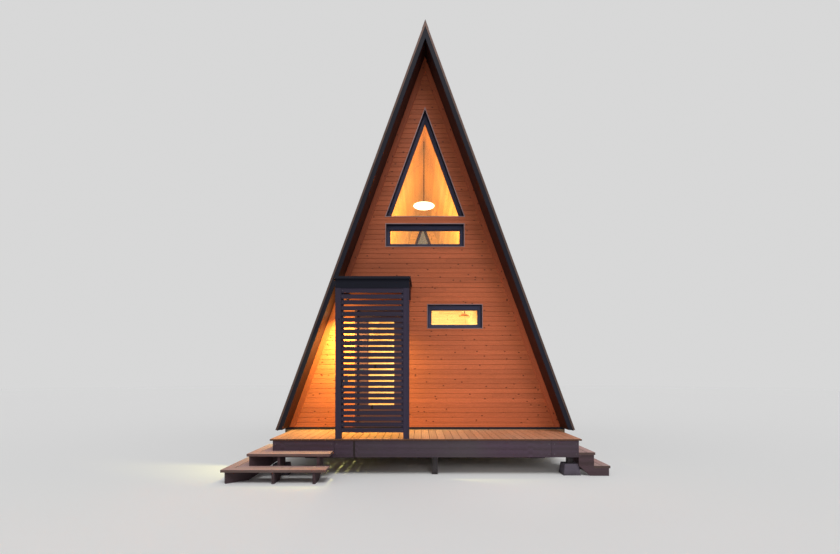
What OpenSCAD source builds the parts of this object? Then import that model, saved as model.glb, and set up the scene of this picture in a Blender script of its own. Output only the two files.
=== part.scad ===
// A-frame cabin on piers, with a front deck, corner steps, side steps and a slatted entry screen.
// Millimetres. X runs right as seen from the front, Y runs back, Z runs up.
// The origin is on the ground, under the foot of the middle pier.

/* [Body] */
// Length of the cabin between the outer faces of its end walls
body_len = 6100; // [5200:50:7000]
// Height of the cabin floor above the ground
floor_top = 600; // [590:5:640]
// Half of the width between the roof's undersides, at the floor
roof_half_w = 2361; // [2340:1:2420]
// Height from the floor to the peak of the roof's underside
roof_rise = 6459; // [6300:1:6800]
// Thickness of the end walls, with their boards
wall_t = 150; // [130:5:170]
// Height from the floor at which the upper front wall starts
upper_wall_h = 2400; // [2300:10:2450]

/* [Roof] */
// How far the roof runs past each end wall
overhang = 453; // [300:1:520]
// Thickness of the smooth lining under each overhang
soffit_t = 8; // [6:1:12]
// Thickness of each roof panel
panel_t = 66; // [50:1:90]
// Depth of the framed and boarded ceiling below each roof panel
ceiling_t = 118; // [90:1:130]
// Thickness of the flat part of the metal roofing
sheet_t = 6; // [4:1:8]
// Height of the roofing's ribs above its flat
rib_h = 20; // [14:1:26]
// Spacing of the roofing's ribs
rib_pitch = 229; // [180:1:300]
// Width of a rib where it leaves the flat
rib_w = 44; // [36:1:60]
// Width of a rib on top
rib_top_w = 22; // [12:1:30]
// How far the roofing hangs below the roof panel
sheet_drop = 16; // [8:1:20]
// Thickness of the boards along the roof's end edges
fascia_t = 25; // [18:1:32]
// Height of the metal edge strip above those boards
drip_h = 33; // [30:1:38]
// How far the metal edge strip stands out past those boards
drip_out = 5; // [2:1:10]
// Length of the ridge cap down each slope
cap_leg = 160; // [120:5:220]
// Thickness of the ridge cap
cap_t = 4; // [3:1:6]
// Width of the trim board along the roof on each end wall
trim_w = 89; // [70:1:110]
// How far that trim board stands out from the wall
trim_t = 19; // [14:1:24]
// Play where a piece meets the slope of the roof or the end of its sheets
seat = 0.2; // [0.1:0.1:0.5]

/* [Floors and piers] */
// Thickness of the cabin floor
floor_t = 38; // [30:1:45]
// Depth of the joists under the floor and under the deck
joist_h = 184; // [170:1:200]
// Thickness of every joist and rim board
joist_t = 38; // [32:1:45]
// Number of joists between the end rims
joist_count = 9; // [6:1:12]
// Depth of the beams on the piers
beam_h = 140; // [120:1:150]
// Width of the beams on the piers
beam_w = 76; // [64:1:90]
// Distance from the middle beam to each side beam
beam_x = 2050; // [1800:10:2100]
// Distance from the middle row of piers to each end row
pier_y = 2600; // [2200:10:2700]
// Height of a concrete pier block
pier_h = 167; // [140:1:175]
// Width of a pier block on the ground
pier_w = 260; // [240:5:280]
// Width of a pier block on top
pier_top_w = 212; // [180:2:220]
// Width of a square post
post_w = 89; // [80:1:100]
// Height from the ground floor to the top of the loft floor
loft_h = 2450; // [2400:10:2600]
// Thickness of the loft floor
loft_t = 150; // [120:5:180]
// Length of the loft floor from the inside of the front wall
loft_len = 1800; // [1500:50:3600]

/* [Deck] */
// Height of the deck above the ground
deck_top = 550; // [535:1:560]
// Depth of the deck from the wall to its front face
deck_depth = 1160; // [1100:5:1300]
// Width of the deck's frame
deck_w = 4570; // [4500:5:4600]
// Thickness of the deck boards
board_t = 25; // [22:1:30]
// How far the deck boards run past the fascia in front
board_nosing = 15; // [0:1:20]
// How far the deck boards run past the fascia at each side
board_side = 40; // [10:1:50]
// Height of the deck's fascia boards
fascia_h = 250; // [225:1:270]
// Place of the fascia's left joint
fascia_joint_left = -1370; // [-1600:10:-1200]
// Place of the fascia's right joint
fascia_joint_right = 1880; // [1700:10:2000]
// Gap where two fascia boards meet
fascia_gap = 3; // [2:1:5]
// Distance from the deck's side to the middle of its outer posts
deck_pier_in = 92; // [85:1:140]
// Distance from the deck's front to the middle of the beam on its posts
deck_beam_in = 150; // [150:1:200]
// Place of the deck's middle post
deck_post_x = 140; // [0:10:400]

/* [Steps] */
// Height from one corner tread to the next
corner_rise = 175; // [165:1:182]
// Depth of a corner tread
corner_run = 283; // [265:1:300]
// Right end of the corner treads
corner_right = -1380; // [-1500:10:-1300]
// Height from one side tread to the next
side_rise = 200; // [185:1:210]
// Depth of a side tread
side_run = 245; // [230:1:265]
// Length of the side steps along the deck
side_len = 700; // [620:5:740]
// Thickness of a tread
tread_t = 38; // [32:1:42]
// How far a tread runs past the upright cut of the stringer below it
tread_nosing = 20; // [10:1:30]
// Inset of the stringers from the ends of the treads
stringer_inset = 170; // [120:5:200]
// Depth of the board that a stringer is cut from
stringer_d = 270; // [255:1:285]

/* [Windows] */
// Width of a window's lip at the face of the wall
lip_w = 22; // [16:1:30]
// How far the lip stands out from the wall
lip_out = 6; // [3:1:10]
// Width of the casing, measured from the edge of the hole in the wall
casing_w = 58; // [48:1:66]
// Depth from the face of the wall to the casing
casing_back = 80; // [40:1:86]
// Width of the inner frame that holds the glass
sash_w = 19; // [15:1:32]
// Depth of that inner frame
sash_d = 40; // [30:1:45]
// Depth from the face of the wall to the inner frame
sash_back = 98; // [90:1:105]
// How much wider the casing is at the top of the loft window and the side window
head_w = 20; // [0:1:30]
// Height of the frame at the foot of the triangle window
gable_foot = 16; // [12:1:40]
// Thickness of the glazing
glass_t = 12; // [8:1:20]
// Height from the floor to the bottom of the triangle window
gable_z = 3666; // [3650:1:3700]
// Height of the triangle window
gable_h = 1917; // [1800:1:1950]
// Height from the floor to the bottom of the loft window
loft_win_z = 3143; // [3100:1:3180]
// Height of the loft window
loft_win_h = 412; // [380:1:430]
// Width of the loft window
loft_win_w = 1382; // [1300:1:1420]
// Height from the floor to the bottom of the side window
side_win_z = 1717; // [1650:1:1750]
// Height of the side window
side_win_h = 430; // [400:1:450]
// Left edge of the side window
side_win_x = 36; // [0:1:80]
// Width of the side window
side_win_w = 971; // [940:1:1010]

/* [Door] */
// Place of the middle of the door
door_x = -772; // [-790:1:-760]
// Width of the door leaf
leaf_w = 813; // [790:1:830]
// Height of the door leaf
leaf_h = 2032; // [1980:1:2040]
// Thickness of the door leaf
leaf_t = 45; // [40:1:50]
// Width of the glass in the door
door_glass_w = 480; // [420:5:540]
// Height of the glass in the door
door_glass_h = 1550; // [1400:10:1600]
// Height of the rail below that glass
bottom_rail = 302; // [260:1:340]
// Gap between the leaf and the frame at the hinges and the head
hinge_gap = 5; // [5:1:7]
// Gap between the leaf and the frame at the latch
latch_gap = 8; // [8:1:10]
// Gap under the leaf
sill_gap = 8; // [6:1:10]
// Thickness of the sill
sill_h = 20; // [15:1:25]
// Thickness of the frame's boards
jamb_t = 38; // [30:1:40]
// Width of the strip that the leaf shuts against
stop_w = 12; // [11:1:16]
// Depth of that strip
stop_d = 30; // [20:1:36]
// Height of the handle above the foot of the leaf
handle_z = 960; // [900:10:1050]
// Distance from the edge of the leaf to the handle
backset = 60; // [55:1:70]
// Radius of a hinge knuckle
knuckle_r = 7; // [5:1:8]
// Gap between a hinge knuckle and the plane of the leaf
knuckle_gap = 1; // [1:0.5:3]
// Height of a hinge
hinge_h = 100; // [80:5:120]
// Play between the two plates of a hinge
hinge_play = 0.3; // [0.2:0.1:0.5]

/* [Entry screen and canopy] */
// Outer left face of the screen's left post
screen_left = -1353; // [-1365:1:-1340]
// Outer right face of the screen's right post
screen_right = -248; // [-260:1:-240]
// Height from the deck to the underside of the header
header_z = 2254; // [2240:1:2270]
// Height of the header
header_h = 140; // [120:1:150]
// Height that the canopy gains on its way to the wall
canopy_rise = 116; // [80:1:140]
// How far the canopy's roof runs past the header in front
canopy_eave = 20; // [10:1:40]
// How far the canopy's roof runs past the frame at each side
canopy_side = 12; // [4:1:30]
// Flat strip between the last rib of the canopy's roof and its right edge
canopy_strip = 2; // [1:1:60]
// Height of a slat
slat_h = 63; // [45:1:90]
// Gap between two slats
slat_gap = 24; // [12:1:60]
// Gap between the top slat and the header
slat_head = 7; // [5:1:30]
// Least gap between the lowest slat and the deck
slat_foot = 60; // [20:5:100]
// Thickness of a slat
slat_t = 19; // [15:1:22]
// How far the slats lie behind the face of the posts
slat_back = 8; // [4:1:14]
// Width of the upright cleats behind the slats
cleat_w = 30; // [24:1:40]
// Depth of those cleats
cleat_d = 38; // [30:1:42]

/* [Lights] */
// Gap between the wall light and the trim board along the roof
sconce_gap = 13; // [5:1:40]
// Height of the wall light above the deck
sconce_z = 1935; // [1850:5:1980]
// Radius of the wall light
sconce_r = 50; // [40:1:60]
// Depth of the wall light
sconce_d = 60; // [40:1:80]
// Place of the room's dish lamp across the cabin
dish_x = 1030; // [900:10:1100]
// Place of the room's dish lamp along the cabin
dish_y = 450; // [200:10:1200]
// Height of that lamp above the floor
dish_z = 2380; // [2300:10:2450]
// Radius of that lamp
dish_r = 135; // [100:5:150]
// Place of the lamp under the ridge along the cabin
lamp_y = -800; // [-1200:10:-400]
// Height of the middle of that lamp above the floor
lamp_z = 4691; // [4500:1:4800]
// Radius of that lamp
lamp_r = 235; // [180:5:260]
// Height of that lamp from its foot to its top
lamp_h = 180; // [120:5:220]
// Radius of a lamp's stem
stem_r = 8; // [5:1:10]

/* [Hidden] */
$fn = 48;

// Half of the angle between the two roof slopes
roof_angle = atan(roof_half_w / roof_rise);
// Distances from the roof's underside, square to the slope
panel_out = soffit_t + panel_t;
roof_out = panel_out + sheet_t + rib_h;
lining_in = soffit_t - ceiling_t;

// The end walls, the roof's ends and the front of the deck along Y
wall_y = body_len / 2;
inner_y = wall_y - wall_t;
roof_y = wall_y + overhang;
panel_y = roof_y - fascia_t;
deck_y = -wall_y - deck_depth;

// Levels below the floor and below the deck
floor_bottom = floor_top - floor_t;
beam_top = floor_bottom - joist_h;
beam_bottom = beam_top - beam_h;
deck_frame_top = deck_top - board_t;
deck_joist_bottom = deck_frame_top - joist_h;
rim_y = deck_y + joist_t;
deck_beam_y = deck_y + deck_beam_in;
upper_wall_z = floor_top + upper_wall_h;

// The door leaf, its frame's opening and the line that it turns about
leaf_left = door_x - leaf_w / 2;
leaf_right = door_x + leaf_w / 2;
leaf_z = floor_top + sill_h + sill_gap;
leaf_top = leaf_z + leaf_h;
leaf_y = -inner_y - leaf_t;
clear_left = leaf_left - latch_gap;
clear_right = leaf_right + hinge_gap;
clear_top = leaf_top + hinge_gap;
frame_left = clear_left - jamb_t;
frame_right = clear_right + jamb_t;
frame_top = clear_top + jamb_t;
pivot_x = leaf_right + hinge_gap / 2;
pivot_y = -inner_y + knuckle_r + knuckle_gap;

// The canopy's top, which rises towards the wall
canopy_front_z = deck_top + header_z + header_h;
canopy_angle = atan(canopy_rise / deck_depth);

// Distance from the edge of a window's hole to its glass
glass_in = casing_w + sash_w;

// The screen's slats, which hang down from the header
slat_pitch = slat_h + slat_gap;
slat_count = 1 + floor((header_z - slat_head - slat_h - slat_foot) / slat_pitch);

// Half widths of the floor and the deck, and the places of the deck's piers
floor_x = half_w(panel_out, floor_top);
deck_x = deck_w / 2;
deck_pier_x = deck_x - deck_pier_in;

// Distance from one tread's front edge to the next, on the corner steps and on the side steps
corner_pitch = corner_run - tread_nosing;
side_pitch = side_run - tread_nosing;

// Height of the peak of a plane that lies d outside the roof's underside
function peak(d) = floor_top + roof_rise + d / sin(roof_angle);
// Half of the width of that plane at height z
function half_w(d, z) = (peak(d) - z) * tan(roof_angle);
// Top of the canopy's frame at a place along Y
function canopy_z(y) = canopy_front_z + (y - deck_y) * tan(canopy_angle);

// Outline of a strip between two planes on the right slope, from height z to the ridge
function slope_outline(d1, d2, z) = [
    [half_w(d1, z), z], [half_w(d2, z), z], [0, peak(d2)], [0, peak(d1)]
];
// Outline of a strip between two planes that runs over the ridge
function ridge_outline(d1, d2, z) = [
    [half_w(d1, z), z], [half_w(d2, z), z], [0, peak(d2)],
    [-half_w(d2, z), z], [-half_w(d1, z), z], [0, peak(d1)]
];
// Outline of the end wall below plane d, between two heights
function gable_outline(d, z1, z2) = [
    [-half_w(d, z1), z1], [half_w(d, z1), z1], [half_w(d, z2), z2], [-half_w(d, z2), z2]
];
// Outline of the triangle window, taken in by t at its sides and by foot at its foot
function triangle_outline(t, foot) = let (
    low = floor_top + gable_z + foot,
    high = floor_top + gable_z + gable_h - t / sin(roof_angle),
    half = (high - low) * tan(roof_angle)
) [[-half, low], [half, low], [0, high]];
// Outline of a window with a left edge, foot, width and height, taken in by t and at its top by head
function window_outline(x, z, w, h, t, head) = [
    [x + t, floor_top + z + t], [x + w - t, floor_top + z + t],
    [x + w - t, floor_top + z + h - head], [x + t, floor_top + z + h - head]
];
function loft_window(t, head) =
    window_outline(-loft_win_w / 2, loft_win_z, loft_win_w, loft_win_h, t, head);
function side_window(t, head) =
    window_outline(side_win_x, side_win_z, side_win_w, side_win_h, t, head);

// Outline of ribbed sheet of width w, along its width and then square to it, with a flat strip
// between its last rib and its right edge
function rib_outline(w, strip) = let (
    count = floor((w - rib_w - strip) / rib_pitch),
    last = (w - rib_w) / 2 - strip,
    high = sheet_t + rib_h
) concat(
    [[-w / 2, 0], [w / 2, 0], [w / 2, sheet_t]],
    [for (i = [0:count]) let (c = last - i * rib_pitch) each [
        [c + rib_w / 2, sheet_t], [c + rib_top_w / 2, high],
        [c - rib_top_w / 2, high], [c - rib_w / 2, sheet_t]
    ]],
    [[-w / 2, sheet_t]]
);

// A box between two corners
module box(low, high) {
    translate(low) cube(high - low);
}

// An outline in X and Z, drawn from y1 to y2
module across(outline, y1, y2) {
    translate([0, y2, 0]) rotate([90, 0, 0]) linear_extrude(y2 - y1) polygon(outline);
}

// An outline in Y and Z, drawn from x1 to x2
module along(outline, x1, x2) {
    translate([x1, 0, 0]) rotate([90, 0, 90]) linear_extrude(x2 - x1) polygon(outline);
}

module left_and_right() {
    children();
    mirror([1, 0, 0]) children();
}

module front_and_rear() {
    children();
    mirror([0, 1, 0]) children();
}

// Foundation

module pier_block(x, y) {
    outline = [
        [-pier_w / 2, 0], [pier_w / 2, 0], [pier_top_w / 2, pier_h], [-pier_top_w / 2, pier_h]
    ];
    translate([x, y, 0]) intersection() {
        across(outline, -pier_w / 2, pier_w / 2);
        along(outline, -pier_w / 2, pier_w / 2);
    }
}

module square_post(x, y, z1, z2) {
    box([x - post_w / 2, y - post_w / 2, z1], [x + post_w / 2, y + post_w / 2, z2]);
}

module pier_blocks() {
    color("darkgray") {
        for (x = [-beam_x, 0, beam_x], y = [-pier_y, 0, pier_y]) pier_block(x, y);
        for (x = [-deck_pier_x, deck_pier_x]) pier_block(x, deck_beam_y);
    }
}

module foundation_posts() {
    color("dimgray") {
        for (x = [-beam_x, 0, beam_x], y = [-pier_y, 0, pier_y]) {
            square_post(x, y, pier_h, beam_bottom);
        }
        for (x = [-deck_pier_x, deck_pier_x]) {
            square_post(x, deck_beam_y, pier_h, deck_joist_bottom);
        }
        square_post(deck_post_x, deck_beam_y, 0, deck_joist_bottom);
    }
}

module floor_beams() {
    color("saddlebrown") for (x = [-beam_x, 0, beam_x]) {
        box([x - beam_w / 2, -wall_y, beam_bottom], [x + beam_w / 2, wall_y, beam_top]);
    }
}

// Floor

module floor_rim() {
    color("saddlebrown") difference() {
        box([-floor_x, -wall_y, beam_top], [floor_x, wall_y, floor_bottom]);
        box(
            [joist_t - floor_x, joist_t - wall_y, beam_top - 1],
            [floor_x - joist_t, wall_y - joist_t, floor_bottom + 1]
        );
    }
}

module floor_joists() {
    pitch = (body_len - joist_t) / (joist_count + 1);
    x = floor_x - joist_t;
    color("peru") for (i = [1:joist_count]) {
        y = i * pitch - wall_y;
        box([-x, y, beam_top], [x, y + joist_t, floor_bottom]);
    }
}

module main_floor() {
    color("burlywood") box([-floor_x, -wall_y, floor_bottom], [floor_x, wall_y, floor_top]);
}

module loft_floor() {
    z2 = floor_top + loft_h;
    z1 = z2 - loft_t;
    color("burlywood") across(gable_outline(lining_in - seat, z1, z2), -inner_y, loft_len - inner_y);
}

// Deck

module deck_joists() {
    x = deck_x - joist_t;
    ledger_y = -wall_y - joist_t;
    beam_back = deck_beam_y + beam_w / 2;
    bay = (ledger_y - beam_back) / 3;
    color("peru") {
        box([-x, deck_beam_y - beam_w / 2, deck_joist_bottom], [x, beam_back, deck_frame_top]);
        for (i = [1:2]) {
            y = beam_back + i * bay - joist_t / 2;
            box([-x, y, deck_joist_bottom], [x, y + joist_t, deck_frame_top]);
        }
        box([-x, ledger_y, deck_joist_bottom], [x, -wall_y, deck_frame_top]);
    }
}

module deck_fascia() {
    z = deck_frame_top - fascia_h;
    joints = [-deck_x - fascia_gap / 2, fascia_joint_left, fascia_joint_right, deck_x + fascia_gap / 2];
    color("dimgray") {
        for (i = [0:2]) box(
            [joints[i] + fascia_gap / 2, deck_y, z],
            [joints[i + 1] - fascia_gap / 2, rim_y, deck_frame_top]
        );
        left_and_right() box(
            [deck_x - joist_t, rim_y + fascia_gap, z], [deck_x, -wall_y, deck_frame_top]
        );
    }
}

module deck_boards() {
    x = deck_x + board_side;
    color("tan") box([-x, deck_y - board_nosing, deck_frame_top], [x, -wall_y, deck_top]);
}

// Steps

// Height of the top of tread i, counted down from the deck
function tread_z(i, rise) = deck_top - i * rise;

// One step of the corner stair, which turns around the deck's left front corner
module corner_tread(i) {
    near = (i - 1) * corner_pitch;
    far = near + corner_run;
    back = deck_y + side_len;
    translate([0, 0, tread_z(i, corner_rise) - tread_t]) linear_extrude(tread_t) polygon([
        [corner_right, deck_y - near], [-deck_x - near, deck_y - near], [-deck_x - near, back],
        [-deck_x - far, back], [-deck_x - far, deck_y - far], [corner_right, deck_y - far]
    ]);
}

module corner_step_treads() {
    color("tan") for (i = [1:2]) corner_tread(i);
}

module side_step_treads() {
    color("tan") for (i = [1:2]) {
        near = (i - 1) * side_pitch;
        z = tread_z(i, side_rise);
        box([deck_x + near, deck_y, z - tread_t], [deck_x + near + side_run, deck_y + side_len, z]);
    }
}

// Outline of a notched board: outwards from the deck, then up
function stringer_outline(pitch, rise, slope) = let (
    high = tread_z(1, rise) - tread_t,
    low = high - rise,
    root = high + rise - stringer_d / cos(slope)
) [
    [0, root], [0, high], [pitch, high], [pitch, low], [2 * pitch, low], [2 * pitch, 0],
    [root / rise * pitch, 0]
];

// A notched board that leaves the place (x, y) at an angle from the X axis
module stringer(x, y, angle, pitch, rise, slope) {
    translate([x, y, 0]) rotate([0, 0, angle]) {
        across(stringer_outline(pitch, rise, slope), -joist_t / 2, joist_t / 2);
    }
}

module corner_stringer(x, y, angle, pitch) {
    stringer(x, y, angle, pitch, corner_rise, atan(corner_rise / corner_pitch));
}

module step_stringers() {
    back_y = deck_y + side_len - stringer_inset;
    slope = atan(side_rise / side_pitch);
    // The upright cuts of the stringer at the corner stop short of the tread's inner corner
    corner_cut = corner_pitch * sqrt(2) - joist_t / 2;
    color("tan") {
        for (x = [corner_right - stringer_inset, stringer_inset - deck_x]) {
            corner_stringer(x, deck_y, -90, corner_pitch);
        }
        corner_stringer(-deck_x, deck_y, -135, corner_cut);
        corner_stringer(-deck_x, back_y, 180, corner_pitch);
        for (y = [deck_y + joist_t / 2, back_y]) {
            stringer(deck_x, y, 0, side_pitch, side_rise, slope);
        }
    }
}

// End walls

module end_wall(outline) {
    across(outline, -wall_y, -inner_y);
}

// Cuts the window outlines out of an end wall
module window_holes() {
    for (outline = [triangle_outline(0, 0), loft_window(0, 0), side_window(0, 0)]) {
        across(outline, -wall_y - 1, 1 - inner_y);
    }
}

module front_wall_left() {
    edge = half_w(soffit_t, floor_top);
    color("peru") end_wall([
        [-edge, floor_top], [frame_left, floor_top], [frame_left, upper_wall_z],
        [-half_w(soffit_t, upper_wall_z), upper_wall_z]
    ]);
}

module front_wall_right() {
    edge = half_w(soffit_t, floor_top);
    color("peru") difference() {
        end_wall([
            [frame_right, floor_top], [edge, floor_top],
            [half_w(soffit_t, upper_wall_z), upper_wall_z], [frame_right, upper_wall_z]
        ]);
        window_holes();
    }
}

module front_wall_over_door() {
    color("peru") box([frame_left, -wall_y, frame_top], [frame_right, -inner_y, upper_wall_z]);
}

module front_wall_upper() {
    edge = half_w(soffit_t, upper_wall_z);
    color("peru") difference() {
        end_wall([[-edge, upper_wall_z], [edge, upper_wall_z], [0, peak(soffit_t)]]);
        window_holes();
    }
}

module rear_wall() {
    edge = half_w(soffit_t, floor_top);
    color("peru") mirror([0, 1, 0]) difference() {
        end_wall([[-edge, floor_top], [edge, floor_top], [0, peak(soffit_t)]]);
        window_holes();
    }
}

// Roof

module roof_panel() {
    across(slope_outline(soffit_t, panel_out, floor_top), -panel_y, panel_y);
}

module roof_panel_left() {
    color("dimgray") mirror([1, 0, 0]) roof_panel();
}

module roof_panel_right() {
    color("dimgray") roof_panel();
}

module ceiling() {
    across(slope_outline(lining_in, soffit_t, floor_top), -inner_y, inner_y);
}

module ceiling_left() {
    color("peru") mirror([1, 0, 0]) ceiling();
}

module ceiling_right() {
    color("peru") ceiling();
}

// Ribbed sheet on the right slope, cut square at the eave and at the ridge
module roofing() {
    slope = (peak(panel_out) - floor_top) / cos(roof_angle);
    width = 2 * (panel_y - seat);
    strip = (width - rib_w) % rib_pitch / 2;
    outline = [for (p = rib_outline(width, strip)) [p[1], p[0]]];
    translate([half_w(panel_out, floor_top), 0, floor_top]) rotate([0, -roof_angle, 0]) {
        translate([0, 0, -sheet_drop]) linear_extrude(slope + sheet_drop) polygon(outline);
    }
}

module roofing_left() {
    color("darkslategray") mirror([1, 0, 0]) roofing();
}

module roofing_right() {
    color("darkslategray") roofing();
}

module ridge_cap() {
    top = peak(roof_out + cap_t);
    foot = [cap_leg * sin(roof_angle), top - cap_leg * cos(roof_angle)];
    inner = foot - cap_t * [cos(roof_angle), sin(roof_angle)];
    outline = [
        [0, top], foot, inner, [0, peak(roof_out)], [-inner[0], inner[1]], [-foot[0], foot[1]]
    ];
    color("darkslategray") across(outline, -roof_y - drip_out, roof_y + drip_out);
}

module rake_fascias() {
    outline = ridge_outline(0, roof_out - drip_h, floor_top);
    color("darkslategray") front_and_rear() across(outline, -roof_y, -panel_y);
}

module drip_edges() {
    outline = ridge_outline(roof_out - drip_h, roof_out, floor_top);
    color("silver") front_and_rear() across(outline, -roof_y - drip_out, -panel_y);
}

module soffits() {
    outline = ridge_outline(0, soffit_t, floor_top);
    color("darkslategray") front_and_rear() across(outline, -panel_y, -wall_y);
}

module rake_trims() {
    outline = ridge_outline(-trim_w, 0, floor_top);
    color("peru") front_and_rear() across(outline, -wall_y - trim_t, -wall_y);
}

// Windows

// Lip, set-back casing and inner frame, from the outlines of the hole, of the lip's and the
// casing's inner edge and of the glass
module window_frame(hole, lip, casing, glass) {
    lip_y = -wall_y - lip_out;
    sash_y = sash_back - wall_y;
    difference() {
        across(hole, lip_y, -inner_y);
        across(glass, lip_y - 1, 1 - inner_y);
        across(lip, lip_y - 1, casing_back - wall_y);
        across(casing, lip_y - 1, sash_y);
        across(casing, sash_y + sash_d, 1 - inner_y);
    }
}

module pane(outline) {
    y = sash_back - wall_y + (sash_d - glass_t) / 2;
    across(outline, y, y + glass_t);
}

module gable_frame() {
    window_frame(
        triangle_outline(0, 0), triangle_outline(lip_w, gable_foot),
        triangle_outline(casing_w, gable_foot), triangle_outline(glass_in, gable_foot)
    );
}

module loft_frame() {
    window_frame(
        loft_window(0, 0), loft_window(lip_w, lip_w),
        loft_window(casing_w, casing_w + head_w), loft_window(glass_in, glass_in + head_w)
    );
}

module side_frame() {
    window_frame(
        side_window(0, 0), side_window(lip_w, lip_w),
        side_window(casing_w, casing_w + head_w), side_window(glass_in, glass_in + head_w)
    );
}

module gable_window_frame() {
    color("slategray") gable_frame();
}

module loft_window_frame() {
    color("slategray") loft_frame();
}

module side_window_frame() {
    color("slategray") side_frame();
}

module panes() {
    pane(triangle_outline(glass_in, gable_foot));
    pane(loft_window(glass_in, glass_in + head_w));
    pane(side_window(glass_in, glass_in + head_w));
}

module front_window_glass() {
    color("lightblue") panes();
}

module rear_window_frames() {
    color("slategray") mirror([0, 1, 0]) {
        gable_frame();
        loft_frame();
        side_frame();
    }
}

module rear_window_glass() {
    color("lightblue") mirror([0, 1, 0]) panes();
}

// Door

// Draws one piece at the height of each hinge
module at_hinges() {
    spread = leaf_h - 2 * hinge_h;
    for (i = [0:2]) translate([pivot_x, pivot_y, leaf_z + hinge_h / 2 + i * spread / 2]) children();
}

module door_frame() {
    stop_y = leaf_y - hinge_gap;
    plate_t = hinge_gap / 2;
    color("slategray") {
        at_hinges() box([hinge_play, leaf_y - pivot_y, 0], [plate_t, -inner_y - pivot_y, hinge_h]);
        frame_boards(stop_y);
    }
}

// Side boards, head board and the strip that the leaf shuts against, whose back is at stop_y
module frame_boards(stop_y) {
    difference() {
        box([frame_left, -wall_y, floor_top], [frame_right, -inner_y, frame_top]);
        box(
            [clear_left + stop_w, -wall_y - 1, floor_top - 1],
            [clear_right - stop_w, 1 - inner_y, clear_top - stop_w]
        );
        box([clear_left, -wall_y - 1, floor_top - 1], [clear_right, stop_y - stop_d, clear_top]);
        box([clear_left, stop_y, floor_top - 1], [clear_right, 1 - inner_y, clear_top]);
        box([clear_left, -wall_y - 1, floor_top - 1], [clear_right, 1 - inner_y, floor_top + sill_h]);
    }
}

module door_sill() {
    color("silver") box([clear_left, -wall_y, floor_top], [clear_right, -inner_y, floor_top + sill_h]);
}

door_glass_left = door_x - door_glass_w / 2;
door_glass_right = door_x + door_glass_w / 2;
door_glass_z = leaf_z + bottom_rail;

module door_leaf() {
    color("darkslategray") difference() {
        box([leaf_left, leaf_y, leaf_z], [leaf_right, -inner_y, leaf_top]);
        box(
            [door_glass_left, leaf_y - 1, door_glass_z],
            [door_glass_right, 1 - inner_y, door_glass_z + door_glass_h]
        );
    }
}

module door_glass() {
    y = leaf_y + (leaf_t - glass_t) / 2;
    color("lightblue") box(
        [door_glass_left, y, door_glass_z], [door_glass_right, y + glass_t, door_glass_z + door_glass_h]
    );
}

// Rose, neck and lever, standing out from the plane y = 0 towards the front
module lever() {
    rose_r = 26;
    rose_t = 9;
    neck_r = 9;
    reach = 52;
    lever_l = 125;
    lever_h = 20;
    lever_t = 12;
    rotate([90, 0, 0]) cylinder(h = rose_t, r = rose_r);
    rotate([90, 0, 0]) cylinder(h = reach, r = neck_r);
    box([-neck_r, -reach, -lever_h / 2], [lever_l, lever_t - reach, lever_h / 2]);
}

module door_handle() {
    color("dimgray") translate([leaf_left + backset, 0, leaf_z + handle_z]) {
        translate([0, leaf_y, 0]) lever();
        translate([0, -inner_y, 0]) mirror([0, 1, 0]) lever();
    }
}

module door_hinges() {
    color("silver") at_hinges() {
        cylinder(h = hinge_h, r = knuckle_r);
        box([-hinge_gap / 2, leaf_y - pivot_y, 0], [0, 0, hinge_h]);
    }
}

// Entry screen and canopy

module canopy_posts() {
    top = deck_top + header_z;
    color("slategray") {
        box([screen_left, deck_y, deck_top], [screen_left + post_w, deck_y + post_w, top]);
        box([screen_right - post_w, deck_y, deck_top], [screen_right, deck_y + post_w, top]);
    }
}

// Header on the posts, a rafter at each side and a ledger on the wall
module canopy_frame() {
    z = deck_top + header_z;
    outline = [
        [deck_y, z], [-wall_y, z], [-wall_y, canopy_z(-wall_y)], [deck_y, canopy_z(deck_y)]
    ];
    color("slategray") difference() {
        along(outline, screen_left, screen_right);
        box(
            [screen_left + joist_t, deck_y + post_w, z - 1],
            [screen_right - joist_t, -wall_y - joist_t, canopy_z(-wall_y)]
        );
    }
}

module canopy_roof() {
    run = (deck_depth + canopy_eave) / cos(canopy_angle);
    middle = (screen_left + screen_right) / 2;
    width = screen_right - screen_left + 2 * canopy_side;
    color("darkslategray") translate([middle, -wall_y, canopy_z(-wall_y)]) {
        rotate([90 + canopy_angle, 0, 0]) linear_extrude(run) polygon(rib_outline(width, canopy_strip));
    }
}

module entry_screen() {
    left = screen_left + post_w;
    right = screen_right - post_w;
    y = deck_y + slat_back;
    cleat_y = y + slat_t;
    top = deck_top + header_z - slat_head;
    z = top - slat_h - (slat_count - 1) * slat_pitch;
    color("slategray") {
        for (i = [0:slat_count - 1]) {
            box([left, y, z + i * slat_pitch], [right, cleat_y, z + i * slat_pitch + slat_h]);
        }
        box([left, cleat_y, z], [left + cleat_w, cleat_y + cleat_d, top]);
        box([right - cleat_w, cleat_y, z], [right, cleat_y + cleat_d, top]);
    }
}

// Lights

module wall_light() {
    z = deck_top + sconce_z;
    x = -half_w(-trim_w, z) + (sconce_gap + sconce_r) / cos(roof_angle);
    color("whitesmoke") translate([x, -wall_y, z]) {
        rotate([90, 0, 0]) cylinder(h = sconce_d, r = sconce_r);
    }
}

// A stem that runs up from height z and ends on the ceiling
module stem(x, y, z) {
    edge = half_w(lining_in, floor_top);
    room = [[-edge, floor_top], [edge, floor_top], [0, peak(lining_in)]];
    intersection() {
        translate([x, y, z]) cylinder(h = peak(lining_in) - z, r = stem_r);
        across(room, y - 2 * stem_r, y + 2 * stem_r);
    }
}

// A shallow dish that hangs from the right slope
module dish_lamp() {
    z = floor_top + dish_z;
    dish_h = dish_r / 2;
    translate([dish_x, dish_y, z]) cylinder(h = dish_h, r1 = dish_r, r2 = 2 * stem_r);
    stem(dish_x, dish_y, z + dish_h);
}

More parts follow.
